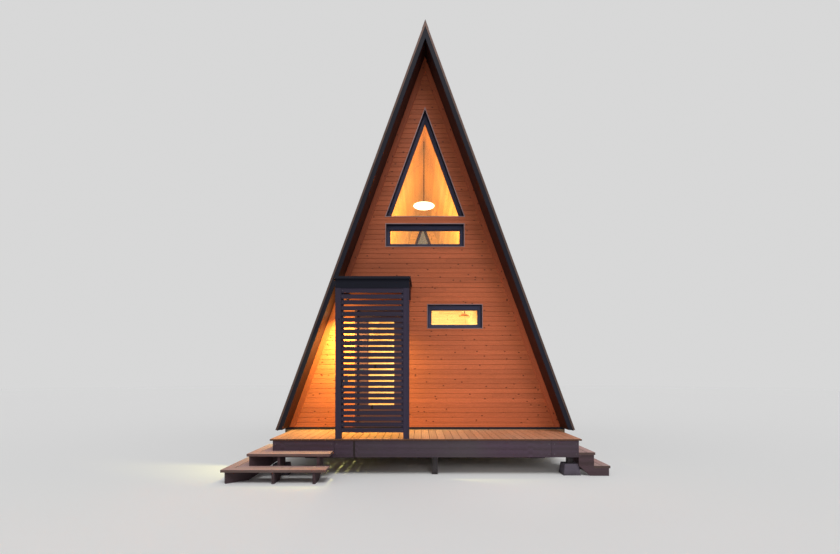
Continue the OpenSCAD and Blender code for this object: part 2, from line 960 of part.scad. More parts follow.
// A flat round lamp, widest at its middle, that hangs under the ridge
module ridge_lamp() {
    z = floor_top + lamp_z;
    foot_r = lamp_r / 2;
    top_r = lamp_r / 3;
    translate([0, lamp_y, z - lamp_h / 2]) cylinder(h = lamp_h / 2, r1 = foot_r, r2 = lamp_r);
    translate([0, lamp_y, z]) cylinder(h = lamp_h / 2, r1 = lamp_r, r2 = top_r);
    stem(0, lamp_y, z);
}

module pendant_lamps() {
    color("whitesmoke") {
        dish_lamp();
        ridge_lamp();
    }
}

pier_blocks();
foundation_posts();
floor_beams();
floor_rim();
floor_joists();
main_floor();
deck_joists();
deck_fascia();
deck_boards();
corner_step_treads();
side_step_treads();
step_stringers();
front_wall_left();
front_wall_right();
front_wall_over_door();
front_wall_upper();
rear_wall();
roof_panel_left();
roof_panel_right();
ceiling_left();
ceiling_right();
roofing_left();
roofing_right();
ridge_cap();
rake_fascias();
drip_edges();
soffits();
rake_trims();
gable_window_frame();
loft_window_frame();
side_window_frame();
front_window_glass();
rear_window_frames();
rear_window_glass();
door_frame();
door_sill();
door_leaf();
door_glass();
door_handle();
door_hinges();
canopy_posts();
canopy_frame();
canopy_roof();
entry_screen();
wall_light();
loft_floor();
pendant_lamps();
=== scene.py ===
import math
import random

import bmesh
import bpy
from bpy.props import FloatProperty, FloatVectorProperty, IntProperty, PointerProperty
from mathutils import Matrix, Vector


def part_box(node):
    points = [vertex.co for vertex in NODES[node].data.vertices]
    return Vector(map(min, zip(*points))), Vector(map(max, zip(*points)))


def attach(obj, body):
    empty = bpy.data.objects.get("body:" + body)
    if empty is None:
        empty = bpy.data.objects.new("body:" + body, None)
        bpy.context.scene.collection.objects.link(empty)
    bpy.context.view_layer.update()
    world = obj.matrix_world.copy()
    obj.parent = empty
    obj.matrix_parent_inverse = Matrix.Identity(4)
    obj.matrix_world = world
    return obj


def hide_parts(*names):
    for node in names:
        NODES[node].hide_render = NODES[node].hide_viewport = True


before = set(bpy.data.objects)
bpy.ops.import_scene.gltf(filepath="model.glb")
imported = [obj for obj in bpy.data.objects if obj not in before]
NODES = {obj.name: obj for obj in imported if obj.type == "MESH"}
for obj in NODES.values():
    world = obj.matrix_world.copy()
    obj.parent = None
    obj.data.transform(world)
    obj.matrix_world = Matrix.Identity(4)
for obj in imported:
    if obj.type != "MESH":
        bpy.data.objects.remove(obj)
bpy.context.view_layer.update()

bl_info = {
    "name": "A-frame cabin finish",
    "version": (1, 0, 0),
    "blender": (4, 5, 0),
    "location": "View3D > Sidebar > Cabin",
    "description": "Boards, metalwork, windows, finishes and studio for an a-frame cabin",
    "category": "Object",
}

CABIN = "cabin"
DOOR = "door"

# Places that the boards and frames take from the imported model, in metres
FLOOR_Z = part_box("main_floor")[1].z
FRONT_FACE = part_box("front_wall_left")[0].y
FRONT_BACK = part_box("front_wall_left")[1].y
REAR_BACK, REAR_FACE = (corner.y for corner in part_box("rear_wall"))

# Directions
UP = (0, 0, 1)
TO_FRONT = (0, -1, 0)

# Heights that differ by less than this count as one
CLOSE = 1e-4

# Height of the flat of a ribbed sheet above the plane that it lies on
SHEET = 0.006


def linear(red, green, blue):
    """Turns a colour picked, 0 to 255, into the linear one that shaders use."""
    shares = (value / 255 for value in (red, green, blue))
    return tuple(s / 12.92 if s <= 0.04045 else ((s + 0.055) / 1.055) ** 2.4 for s in shares)


# Settings


def number(name, default, description, **kind):
    """A setting that is a number, with its unit, subtype and limits where it has them."""
    return FloatProperty(name=name, default=default, description=description, **kind)


def metres(name, default, description, low=0.0):
    return number(name, default, description, unit="LENGTH", min=low, precision=4)


def degrees(name, default, description):
    return number(name, math.radians(default), description, subtype="ANGLE")


def pixels(name, default, description):
    return number(name, default, description, subtype="PIXEL")


def watts(name, default, description):
    return number(name, default, description, unit="POWER", min=0.0)


def colour(name, default, description):
    return FloatVectorProperty(
        name=name, default=default, description=description, subtype="COLOR", size=3, min=0.0, max=1.0
    )


class CabinBoards(bpy.types.PropertyGroup):
    """Sizes of the boards that the walls, floors, ceiling and deck are laid with"""

    siding: metres("Siding", 0.084, "Height of one wall board that shows")
    groove: metres("Groove", 0.003, "Gap between two wall boards")
    groove_depth: metres("Groove depth", 0.009, "Depth of that gap")
    chamfer: metres("Chamfer", 0.003, "Slope cut off a wall board's edges")
    longest: metres("Longest board", 3.6, "Greatest distance between two joints in a row of the wall")
    shortest: metres(
        "Shortest board", 1.2, "Shortest board that starts a row, half as long as the shortest after it"
    )
    lining: metres("Ceiling board", 0.135, "Width of a ceiling or floor board")
    deck_count: IntProperty(name="Deck boards", default=39, min=1, description="Boards across the deck")
    deck_gap: metres("Deck gap", 0.005, "Gap between two deck boards")
    tread_gap: metres("Tread gap", 0.006, "Gap between the two boards of a tread")
    ease: metres("Eased edge", 0.003, "Radius on the edges of sawn timber")
    # Groove dirt is dirt and painted shade: it darkens the chamfers and the grooves' sides
    dirt: number("Groove dirt", 0.33, "Dirt that lies in the grooves", min=0, max=1, subtype="FACTOR")


class CabinWindows(bpy.types.PropertyGroup):
    """Sizes of the window frames"""

    flashing: metres("Flashing", 0.013, "Width of the metal edge around a window")
    reveal: metres("Reveal", 0.022, "Width of the dark lining that runs into the wall, with that edge")
    casing: metres("Casing", 0.058, "Width of the casing, from the edge of the hole in the wall")
    casing_back: metres("Casing set back", 0.080, "Depth from the wall's face to the casing")
    sash: metres("Sash", 0.019, "Width of the inner frame that holds the glass")
    sash_depth: metres("Sash depth", 0.040, "Depth of that inner frame")
    sash_back: metres("Sash set back", 0.098, "Depth from the wall's face to the inner frame")
    head: metres("Head", 0.020, "How much wider the casing is at the top of the level windows")
    foot: metres("Foot", 0.016, "Height of the frame at the foot of the triangle window")
    lip: metres("Lip", 0.003, "Height of the small steps and edges of the frames")


class CabinColours(bpy.types.PropertyGroup):
    """Colours of the finishes"""

    siding: colour("Siding", linear(180, 93, 57), "Stained softwood of the walls")
    trim: colour("Trim", linear(168, 82, 50), "Boards along the roof's underside")
    deck: colour("Deck", linear(198, 133, 100), "Deck boards")
    fascia: colour("Deck fascia", linear(70, 53, 67), "Boards around the deck")
    tread: colour("Treads", linear(186, 143, 138), "Boards of the steps")
    lining: colour("Lining", linear(238, 205, 146), "Boards inside the cabin")
    framing: colour("Framing", linear(150, 118, 86), "Joists and beams")
    stringer: colour("Stringers", linear(74, 54, 60), "Notched boards under the steps")
    post: colour("Posts", linear(62, 55, 58), "Posts on the piers")
    screen: colour("Screen", linear(50, 43, 60), "Stain of the entry screen and its posts")
    # Painted shade: a darker copy of the screen's stain, for the shade under the canopy
    canopy: colour("Canopy", linear(28, 29, 40), "Stain of the canopy's frame")
    window: colour("Window frames", linear(62, 62, 86), "Paint of the window frames")
    door: colour("Door", linear(72, 44, 46), "Paint of the door")
    soffit: colour("Soffit", linear(60, 34, 30), "Smooth lining under the roof's ends")
    fascia_trim: colour("Roof edge", linear(30, 30, 40), "Boards at the roof's ends, and small dark parts")
    # Painted shade in the window reveals; the gaskets and the outlet cover take it as their own dark paint
    reveal: colour("Reveal", linear(26, 28, 44), "Dark lining that runs into the wall at a window")
    edge: colour("Edge metal", linear(96, 78, 72), "Metal edges of the roof, and the door's sill")
    roofing: colour("Roofing", linear(58, 60, 66), "Ribbed roof sheets")
    concrete: colour("Concrete", linear(90, 82, 94), "Pier blocks")
    hardware: colour("Hardware", linear(120, 120, 122), "Screws, hinges and handle")
    glass: colour("Glass", (0.96, 0.985, 0.975), "Faint green of the clear glass")
    rear_glass: colour("Rear glass", (0.4, 0.29, 0.17), "Bronze tint of the rear windows' glass")
    flashing: colour("Window edges", linear(150, 122, 122), "Metal edge around a window")
    amber: colour("Amber", linear(206, 160, 84), "Shade of the room's lamp")
    glow: colour("Lamp glow", (1.0, 0.86, 0.62), "Light of the lamps inside, and the glow of lamp glass")
    upper_glow: colour("Upper glow", (1.0, 0.4, 0.06), "Light in the loft")
    porch_glow: colour("Porch glow", (0.97, 0.9, 0.27), "Light of the wall lamp")


class CabinStage(bpy.types.PropertyGroup):
    """Camera, lights and floor"""

    camera_x: metres("Camera across", -0.087, "Place of the camera across the front", low=-10.0)
    camera_back: metres("Camera back", 11.05, "Distance of the camera from the cabin's middle")
    camera_z: metres("Camera height", 1.49, "Height of the camera")
    sensor: number("Sensor", 36.0, "Width of the sensor, in millimetres", unit="CAMERA")
    focal: pixels("Focal length", 458.4, "Focal length, in pixels of the picture")
    width: pixels("Picture width", 840.0, "Width of the picture")
    middle: pixels("Middle row", 277.0, "Middle row of the picture")
    horizon: pixels("Horizon row", 376.0, "Row of the horizon")
    sky: number("Sky", 0.42, "Strength of the light from all round", min=0.0)
    backdrop: number("Backdrop", 0.685, "Brightness of the backdrop", min=0.0)
    floor: colour("Floor", (0.88, 0.88, 0.88), "Floor of the studio")
    key: number("Key light", 1.35, "Strength of the main light", min=0.0)
    key_tilt: degrees("Key tilt", 36, "Angle of the main light from straight above")
    key_turn: degrees("Key turn", 16, "Angle of the main light to the right of the front")
    key_size: degrees("Key size", 25, "Width of the main light, seen from the cabin")
    front: watts("Front light", 10.5, "Light in front of the cabin")
    room: watts("Room light", 165.0, "Light in the room")
    loft: watts("Loft light", 78.0, "Light in the loft")
    ridge: watts("Ridge light", 5.0, "Light under the ridge")
    porch: watts("Porch light", 74.0, "Light by the door")


# Mesh work


def on_front(u, v, w):
    """Places an outline drawn in X and Z, with its depth along Y."""
    return (u, w, v)


def on_top(u, v, w):
    """Places an outline drawn in X and Y, with its depth along Z."""
    return (u, v, w)


def on_side(u, v, w):
    """Places an outline drawn in Y and Z, with its depth along X."""
    return (w, u, v)


def inset(outline, amounts):
    """Moves each side of an outline inwards by its own amount."""
    count = len(outline)
    area = sum(
        outline[i][0] * outline[(i + 1) % count][1] - outline[(i + 1) % count][0] * outline[i][1]
        for i in range(count)
    )
    turn = 1 if area > 0 else -1
    sides = []
    for i, amount in enumerate(amounts):
        start = Vector(outline[i])
        run = (Vector(outline[(i + 1) % count]) - start).normalized()
        inward = Vector((-run.y, run.x)) * turn
        sides.append((start + inward * amount, run, inward))
    corners = []
    for i in range(count):
        point, run, inward = sides[i - 1]
        other, other_run, _ = sides[i]
        steep = other_run.dot(inward)
        if abs(steep) < 1e-6:
            corners.append(tuple(other))
        else:
            corners.append(tuple(other - other_run * ((other - point).dot(inward) / steep)))
    return corners


def eased(low, high, ease):
    """Layers between two depths, with a quarter round of radius ease at both ends."""
    turns = (math.pi / 2, math.pi / 4, 0.0)
    arc = [(ease * (1 - math.sin(a)), ease * (1 - math.cos(a))) for a in turns]
    near = [(low + depth, inward) for depth, inward in arc]
    return near + [(high - depth, inward) for depth, inward in reversed(arc)]


def rounded(u1, v1, u2, v2, radius):
    """Outline of a rectangle with rounded corners."""
    corners = ((u2, v2, 0), (u1, v2, 1), (u1, v1, 2), (u2, v1, 3))
    outline = []
    for u, v, quarter in corners:
        centre_u = u - radius if u == u2 else u + radius
        centre_v = v - radius if v == v2 else v + radius
        for step in range(3):
            angle = math.pi / 2 * (quarter + step / 2)
            outline.append((centre_u + radius * math.cos(angle), centre_v + radius * math.sin(angle)))
    return outline


# Radius and height of a screw's head: in deck and tread boards, in the fascia, and in small parts
BOARD_SCREW = (0.004, 0.0012)
FASCIA_SCREW = (0.005, 0.002)
SMALL_SCREW = (0.0035, 0.001)

# Ranges of the place in a log that a board is cut from: along it, and beside and above its heart
LOG_PLACES = ((0.0, 40.0), (-0.2, 0.2), (0.02, 0.14))


class Solids:
    """Gathers closed solids into one piece. Each board and moulding has its own grain and tone,
    which are drawn at random from the piece's seed."""

    def __init__(self, seed):
        self.seed = seed
        self.points = []
        self.faces = []
        self.grain = []
        self.tone = []
        self.dirt = []

    def character(self, key):
        """Tone of one board, and the place in the log that it was cut from."""
        draw = random.Random(f"{self.seed} {key}")
        return draw.random(), Vector([draw.uniform(*part) for part in LOG_PLACES])

    def add_point(self, point, grain, tone, dirt):
        self.points.append(tuple(point))
        self.grain.append(tuple(grain))
        self.tone.append(tone)
        self.dirt.append(dirt)

    def stack(self, rings, size, closed):
        """Joins the rings of points that were just added, and caps them unless the last meets the
        first. Size is the number of points in a ring."""
        first = len(self.points) - rings * size
        for ring in range(rings if closed else rings - 1):
            here = first + ring * size
            there = first + (ring + 1) % rings * size
            for i in range(size):
                j = (i + 1) % size
                self.faces.append((here + i, here + j, there + j, there + i))
        if not closed:
            self.faces.append(tuple(range(first, first + size)))
            self.faces.append(tuple(range(first + (rings - 1) * size, first + rings * size)))

    def slab(self, outline, layers, place, along=(1.0, 0.0), soft=None, key=None, dirt=None):
        """Adds the solid through layers of (depth, inset), with the dirt and painted shade on each.
        Soft is each side's share of the inset. The grain runs along a direction in the outline's
        plane, or along the depth if that is None."""
        tone, origin = self.character(len(self.points) if key is None else key)
        soft = soft or [1.0] * len(outline)
        dirt = dirt or [0.0] * len(layers)
        for layer_dirt_and_shade, (depth, inward) in zip(dirt, layers):
            for u, v in inset(outline, [inward * share for share in soft]):
                if along is None:
                    grain = Vector((depth, u, v))
                else:
                    grain = Vector((u * along[0] + v * along[1], v * along[0] - u * along[1], depth))
                self.add_point(place(u, v, depth), grain + origin, tone, layer_dirt_and_shade)
        self.stack(len(layers), len(outline), closed=False)

    def timber(self, low, high, ease, axis=None, ends=0.5):
        """Adds a sawn board between two corners, with eased edges and some dirt and painted shade on its
        ends. Its grain runs along an axis, or else along its length."""
        size = [high[i] - low[i] for i in range(3)]
        axis = size.index(max(size)) if axis is None else axis
        u, v = [i for i in range(3) if i != axis]
        ease = min(ease, size[u] / 4, size[v] / 4)
        outline = rounded(low[u], low[v], high[u], high[v], ease)
        end = ease / 2
        layers = [(low[axis], end), (low[axis] + end, 0), (high[axis] - end, 0), (high[axis], end)]
        place = (on_side, on_front, on_top)[axis]
        self.slab(outline, layers, place, along=None, dirt=[ends, 0.0, 0.0, ends])

    def moulding(self, outline, section, place, spread=None):
        """Sweeps a section of (distance in from the outline, depth) points around an outline.
        Spread turns such a distance into one for each side, where they aren't all the same."""
        tone, origin = self.character(len(self.points))
        for inward, depth in section:
            amounts = spread(inward) if spread else [inward] * len(outline)
            for u, v in inset(outline, amounts):
                self.add_point(place(u, v, depth), Vector((u + v, inward, depth)) + origin, tone, 0.0)
        self.stack(len(section), len(outline), closed=True)

    def turned(self, profile, centre, axis, steps):
        """Turns a profile of (radius, height) points around an axis through a centre."""
        centre, axis = Vector(centre), Vector(axis).normalized()
        side = axis.orthogonal().normalized()
        other = axis.cross(side)
        for radius, height in profile:
            for i in range(steps):
                angle = 2 * math.pi * i / steps
                arm = side * math.cos(angle) + other * math.sin(angle)
                point = centre + axis * height + arm * radius
                self.add_point(point, point, 0.5, 0.0)
        self.stack(len(profile), steps, closed=False)

    def screw(self, point, normal, head):
        """Adds a small domed head, of a radius and height, that stands on a surface."""
        radius, height = head
        profile = [(radius, -height / 2), (radius, height / 2), (radius * 0.6, height)]
        self.turned(profile, point, normal, steps=8)

    def board_screws(self, places, top):
        """Adds half sunk screws at places in X and Y on boards that lie flat."""
        for x, y in places:
            self.screw((x, y, top - BOARD_SCREW[1] / 2), UP, BOARD_SCREW)

    def piece(self, name, slot, body=CABIN, replaced=(), smooth=None, look=None):
        """Makes the gathered solids one piece that rides on a body. Smooth is the angle, in
        degrees, up to which faces are shaded as one, and look a finish other than the slot's."""
        mesh = bpy.data.meshes.new(name)
        mesh.from_pydata(self.points, [], self.faces)
        work = bmesh.new()
        work.from_mesh(mesh)
        bmesh.ops.recalc_face_normals(work, faces=work.faces)
        work.to_mesh(mesh)
        work.free()
        grain = mesh.attributes.new("grain", "FLOAT_VECTOR", "POINT")
        grain.data.foreach_set("vector", [value for vector in self.grain for value in vector])
        for title, values in (("tone", self.tone), ("dirt", self.dirt)):
            mesh.attributes.new(title, "FLOAT", "POINT").data.foreach_set("value", values)
        if smooth is not None:
            mesh.shade_smooth()
            mesh.set_sharp_from_angle(angle=math.radians(smooth))
        mesh.materials.append(finish(look or slot))
        piece = bpy.data.objects.new(name, mesh)
        bpy.context.scene.collection.objects.link(piece)
        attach(piece, body)
        if replaced:
            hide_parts(*replaced)
        return piece


def corners_of(node, above=-math.inf, below=math.inf):
    """Corners of a node that lie between two heights."""
    return [corner.co for corner in NODES[node].data.vertices if above < corner.co.z < below]


def levels(node, axis):
    """The different heights, or places along another axis, of a node's corners."""
    return sorted({round(corner[axis], 5) for corner in corners_of(node)})


def foot_of(node):
    """Least and greatest X of a node's corners at its foot."""
    places = [corner.x for corner in corners_of(node, below=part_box(node)[0].z + CLOSE)]
    return min(places), max(places)


def solid_boxes(node):
    """Lowest and highest corner of each separate solid in a node."""
    work = bmesh.new()
    work.from_mesh(NODES[node].data)
    bmesh.ops.remove_doubles(work, verts=work.verts, dist=1e-5)
    boxes, seen = [], set()
    for start in work.verts:
        if start in seen:
            continue
        seen.add(start)
        queue, low, high = [start], start.co.copy(), start.co.copy()
        while queue:
            corner = queue.pop()
            low = Vector(map(min, low, corner.co))
            high = Vector(map(max, high, corner.co))
            for edge in corner.link_edges:
                other = edge.other_vert(corner)
                if other not in seen:
                    seen.add(other)
                    queue.append(other)
        boxes.append((low, high))
    work.free()
    return sorted(boxes, key=lambda box: tuple(round(value, 4) for value in box[0]))


class Slope:
    """The roof's underside, a plane at each side that meets the other at the peak."""

    def __init__(self):
        low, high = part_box("rake_trims")
        self.foot = low.z
        self.top = high.z
        self.angle = math.atan(high.x / (high.z - low.z))

    def peak(self, out):
        """Height at which a plane that lies some distance outside the underside peaks."""
        return self.top + out / math.sin(self.angle)

    def half(self, out, z):
        """Half of the width between such planes at a height."""
        return (self.peak(out) - z) * math.tan(self.angle)

    def out_of(self, x, z):
        """How far a place lies outside the underside."""
        return (x - self.half(0, z)) * math.cos(self.angle)

    def length(self, out, z):
        """Length of such a plane along the slope, from a height to its peak."""
        return (self.peak(out) - z) / math.cos(self.angle)

    def place(self, side, out):
        """Places (along Y, up the slope from the foot, outwards from such a plane) on one side, -1
        or 1."""
        sine, cosine = math.sin(self.angle), math.cos(self.angle)
        foot_x = self.half(out, self.foot)

        def put(u, v, w):
            return (side * (foot_x - v * sine + w * cosine), u, self.foot + v * cosine + w * sine)

        return put


SLOPE = Slope()


# Finishes


# The finishes made so far, by their name
MADE = {}


class Finish:
    """A material under construction, with short calls for its nodes."""

    def __init__(self, name, **sockets):
        self.material = bpy.data.materials.new(name)
        self.material.use_nodes = True
        self.tree = self.material.node_tree
        self.surface = self.tree.nodes["Principled BSDF"]
        self.set(**sockets)

    def put(self, socket, value):
        if isinstance(value, bpy.types.NodeSocket):
            self.tree.links.new(value, socket)
        elif socket.type == "RGBA" and len(value) == 3:
            socket.default_value = (*value, 1.0)
        else:
            socket.default_value = value

    def set(self, **sockets):
        """Sets the surface's sockets, named in lower case with underscores."""
        named = {socket.name.lower().replace(" ", "_"): socket for socket in self.surface.inputs}
        for name, value in sockets.items():
            self.put(named[name], value)

    def add(self, kind, *inputs, **settings):
        """Adds a node and fills its inputs in their order, without those given as None."""
        node = self.tree.nodes.new("ShaderNode" + kind)
        for name, value in settings.items():
            setattr(node, name, value)
        for socket, value in zip(node.inputs, inputs):
            if value is not None:
                self.put(socket, value)
        return node

    def math(self, operation, *values):
        return self.add("Math", *values, operation=operation).outputs[0]

    def times(self, value, share):
        return self.math("MULTIPLY", value, share)

    def plus(self, value, extra, share):
        """A value with a share of another added to it."""
        return self.math("ADD", value, self.times(extra, share))

    def scaled(self, vector, scale):
        return self.add("VectorMath", vector, scale, operation="MULTIPLY").outputs[0]

    def ranged(self, value, start, end, low, high):
        """Maps a value from one range to another, and keeps it there."""
        return self.add("MapRange", value, start, end, low, high).outputs[0]

    def noise(self, vector, scale=1.0, detail=3.0, rough=0.5):
        return self.add("TexNoise", vector, None, scale, detail, rough).outputs[0]

    def cells(self, vector, scale, **settings):
        return self.add("TexVoronoi", vector, None, scale, **settings).outputs

    def blend(self, share, first, second):
        node = self.add("Mix", data_type="RGBA")
        for socket, value in ((0, share), (6, first), (7, second)):
            self.put(node.inputs[socket], value)
        return node.outputs[2]

    def shade(self, paint, value):
        """A colour made lighter or darker."""
        return self.add("HueSaturation", 0.5, 1.0, value, 1.0, paint).outputs[0]

    def places(self):
        return self.add("TexCoord").outputs["Object"]

    def split(self, vector):
        return self.add("SeparateXYZ", vector).outputs

    def joined(self, *values):
        return self.add("CombineXYZ", *values).outputs[0]

    def attribute(self, name, output="Fac"):
        return self.add("Attribute", attribute_name=name).outputs[output]

    def bump(self, height, distance, strength):
        node = self.add("Bump", strength, distance)
        self.put(node.inputs["Height"], height)
        self.set(normal=node.outputs[0])


def tinted(paint, value, red=1.0, blue=1.0):
    """A lighter or darker, warmer or cooler form of a colour."""
    return (min(1, paint[0] * value * red), min(1, paint[1] * value), min(1, paint[2] * value * blue))


# Scale of the wave texture at which its rings lie one metre apart
METRE_RINGS = 0.314


def board_grain(make, order):
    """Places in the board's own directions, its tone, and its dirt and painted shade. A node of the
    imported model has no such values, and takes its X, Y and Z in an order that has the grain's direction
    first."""
    if order is None:
        return make.attribute("grain", "Vector"), make.attribute("tone"), make.attribute("dirt")
    parts = make.split(make.places())
    return make.joined(*(parts[i] for i in order)), None, None


def knots_in(make, grain, share):
    """Knots in a share of the cells of a grid, and how far they pull the rings around them."""
    grid, ragged, fray = (8.0, 12.0, 1.0), (60, 90, 60), 0.06
    # Distances from a knot's centre, in cells: its heart, its edge, and where the rings bend most
    # and least, and how far they bend, in metres
    heart, edge, most, least, pull = 0.11, 0.19, 0.1, 0.6, 0.012
    cells = make.cells(make.scaled(grain, grid), 1.0, voronoi_dimensions="2D")
    near = make.plus(cells["Distance"], make.noise(make.scaled(grain, ragged), detail=1), fray)
    luck = make.add("SeparateColor", cells["Color"]).outputs[0]
    present = make.math("LESS_THAN", luck, share)
    knot = make.times(make.ranged(near, edge, heart, 0, 1), present)
    return knot, make.times(make.ranged(near, least, most, 0, pull), present)


def wood(
    name, paint, ring=0.006, knots=0.16, contrast=1.0, rough=0.6, order=None, tones=0.12, grey=0.0,
    sides=1.0, shine=0.35,
):
    """Sawn softwood: growth rings, streaks, fibres and knots, in the board's own directions.
    Ring is the distance between two rings, knots the share of places that have one, tones how much the
    boards differ, grey how far they have weathered, and sides the brightness of faces that don't look up,
    beside those that do, which is painted shade."""
    make = Finish(name)
    grain, tone, dirt = board_grain(make, order)
    knot, pull = knots_in(make, grain, knots)
    bent = make.add("VectorMath", grain, make.joined(0, pull, pull)).outputs[0]
    stretch, distortion, detail, fineness, uneven = (0.05, 1, 1), 5.0, 2.0, 9.0, 0.6
    wave = make.add(
        "TexWave", make.scaled(bent, stretch), METRE_RINGS / ring, distortion, detail, fineness, uneven,
        wave_type="RINGS", rings_direction="X",
    ).outputs[1]
    streak = make.noise(make.scaled(grain, (1.1, 38, 38)), detail=4, rough=0.6)
    fibre = make.noise(make.scaled(grain, (7, 420, 420)), detail=2)
    wave_share, streak_share, fibre_share = 0.36, 0.44, 0.2
    light = make.plus(make.times(wave, wave_share), streak, streak_share)
    light = make.plus(light, fibre, fibre_share)
    spread = 0.2 * contrast
    base = make.blend(
        make.ranged(light, 0.25, 0.75, 0, 1),
        tinted(paint, 1 - 1.6 * spread, red=0.98, blue=0.86), tinted(paint, 1 + spread, blue=1.05),
    )
    patch = make.noise(make.places(), scale=0.9)
    if grey:
        mean = sum(paint) / 3
        worn = make.ranged(patch, 0.4, 0.7, 0, grey)
        base = make.blend(worn, base, (mean * 1.05, mean, mean * 0.94))
    base = make.shade(base, make.ranged(patch, 0.3, 0.7, 0.94, 1.06))
    if tone is not None:
        base = make.shade(base, make.ranged(tone, 0, 1, 1 - tones, 1 + tones))
    base = make.blend(knot, base, tinted(paint, 0.2, red=1.25, blue=0.6))
    # Dirt and painted shade: chamfers, groove sides and board ends are darkened
    if dirt is not None:
        base = make.blend(make.times(dirt, 0.9), base, tinted(paint, 0.2, blue=0.9))
    # Painted shade: faces that don't look up are darker than those that do
    if sides < 1:
        upward = make.split(make.add("NewGeometry").outputs["Normal"])[2]
        base = make.shade(base, make.ranged(upward, 0.3, 0.8, sides, 1))
    height = make.plus(light, knot, -0.4)
    make.set(base_color=base, roughness=make.ranged(light, 0.2, 0.8, rough + 0.1, rough - 0.05))
    make.set(specular_ior_level=shine)
    make.bump(height, distance=0.0012, strength=0.55)
    return make.material


def painted(name, paint, rough, fleck=0.05, wear=0.0, shine=0.5):
    """Sprayed or brushed paint on metal or smooth board: faint mottling, dust and orange peel."""
    make = Finish(name)
    places = make.places()
    cloud = make.noise(places, scale=1.3, detail=4)
    speck = make.noise(places, scale=60, rough=0.7)
    run = make.noise(make.scaled(places, (9, 9, 0.7)), detail=3)
    light = make.plus(make.times(cloud, 0.5), run, 0.5)
    base = make.blend(
        make.ranged(light, 0.3, 0.7, 0, 1), tinted(paint, 1 - fleck * 2), tinted(paint, 1 + fleck * 2)
    )
    if wear:
        dust = tinted(paint, 1.9, red=1.02, blue=0.95)
        base = make.blend(make.ranged(speck, 0.55, 0.75, 0, wear), base, dust)
    make.set(base_color=base, roughness=make.ranged(light, 0.3, 0.7, rough - 0.06, rough + 0.08))
    make.set(specular_ior_level=shine)
    make.bump(speck, distance=0.0006, strength=0.25)
    return make.material


def bare_metal(name, paint, rough=0.38):
    """Mill-finished sheet with fine brushing and dull patches."""
    make = Finish(name, metallic=0.85)
    places = make.places()
    brush = make.noise(make.scaled(places, (6, 6, 300)), detail=2)
    cloud = make.noise(places, scale=4, detail=4, rough=0.6)
    base = make.blend(make.ranged(cloud, 0.3, 0.7, 0, 1), tinted(paint, 0.8), tinted(paint, 1.15))
    make.set(base_color=base, roughness=make.ranged(cloud, 0.3, 0.7, rough - 0.08, rough + 0.14))
    make.bump(brush, distance=0.0003, strength=0.3)
    return make.material


def concrete(name, paint):
    """Cast concrete: sand, small air holes that are painted darker as painted shade, and damp at the foot.
    """
    make = Finish(name)
    places = make.places()
    cloud = make.noise(places, scale=7, detail=5, rough=0.6)
    sand = make.noise(places, scale=260, rough=0.7)
    pit = make.ranged(make.cells(places, 55.0)["Distance"], 0.16, 0.08, 0, 1)
    base = make.blend(make.ranged(cloud, 0.3, 0.7, 0, 1), tinted(paint, 0.72), tinted(paint, 1.12))
    base = make.shade(base, make.ranged(sand, 0.3, 0.7, 0.88, 1.1))
    height = make.split(places)[2]
    damp = make.ranged(make.plus(height, cloud, 0.06), 0.03, 0.1, 0.6, 0)
    base = make.blend(damp, base, tinted(paint, 0.4, blue=0.85))
    # Painted shade: the air holes are darkened
    base = make.blend(make.times(pit, 0.6), base, tinted(paint, 0.3))
    make.set(base_color=base, roughness=0.9)
    make.bump(make.math("SUBTRACT", sand, pit), distance=0.0016, strength=0.6)
    return make.material


def glass(name, tint):
    """Float glass with a faint body colour and a trace of dust."""
    make = Finish(name, base_color=tint, ior=1.45, transmission_weight=1.0)
    smear = make.noise(make.places(), scale=5, detail=4, rough=0.65)
    make.set(roughness=make.ranged(smear, 0.45, 0.75, 0.0, 0.05))
    return make.material


def opal(name, glow, strength, body=None):
    """Lamp glass that glows, with a body of another colour where one is given."""
    make = Finish(name, base_color=body or glow, roughness=0.25, emission_color=glow)
    cloud = make.noise(make.places(), scale=30, detail=2)
    make.set(emission_strength=make.ranged(cloud, 0.3, 0.7, 0.93 * strength, 1.07 * strength))
    return make.material


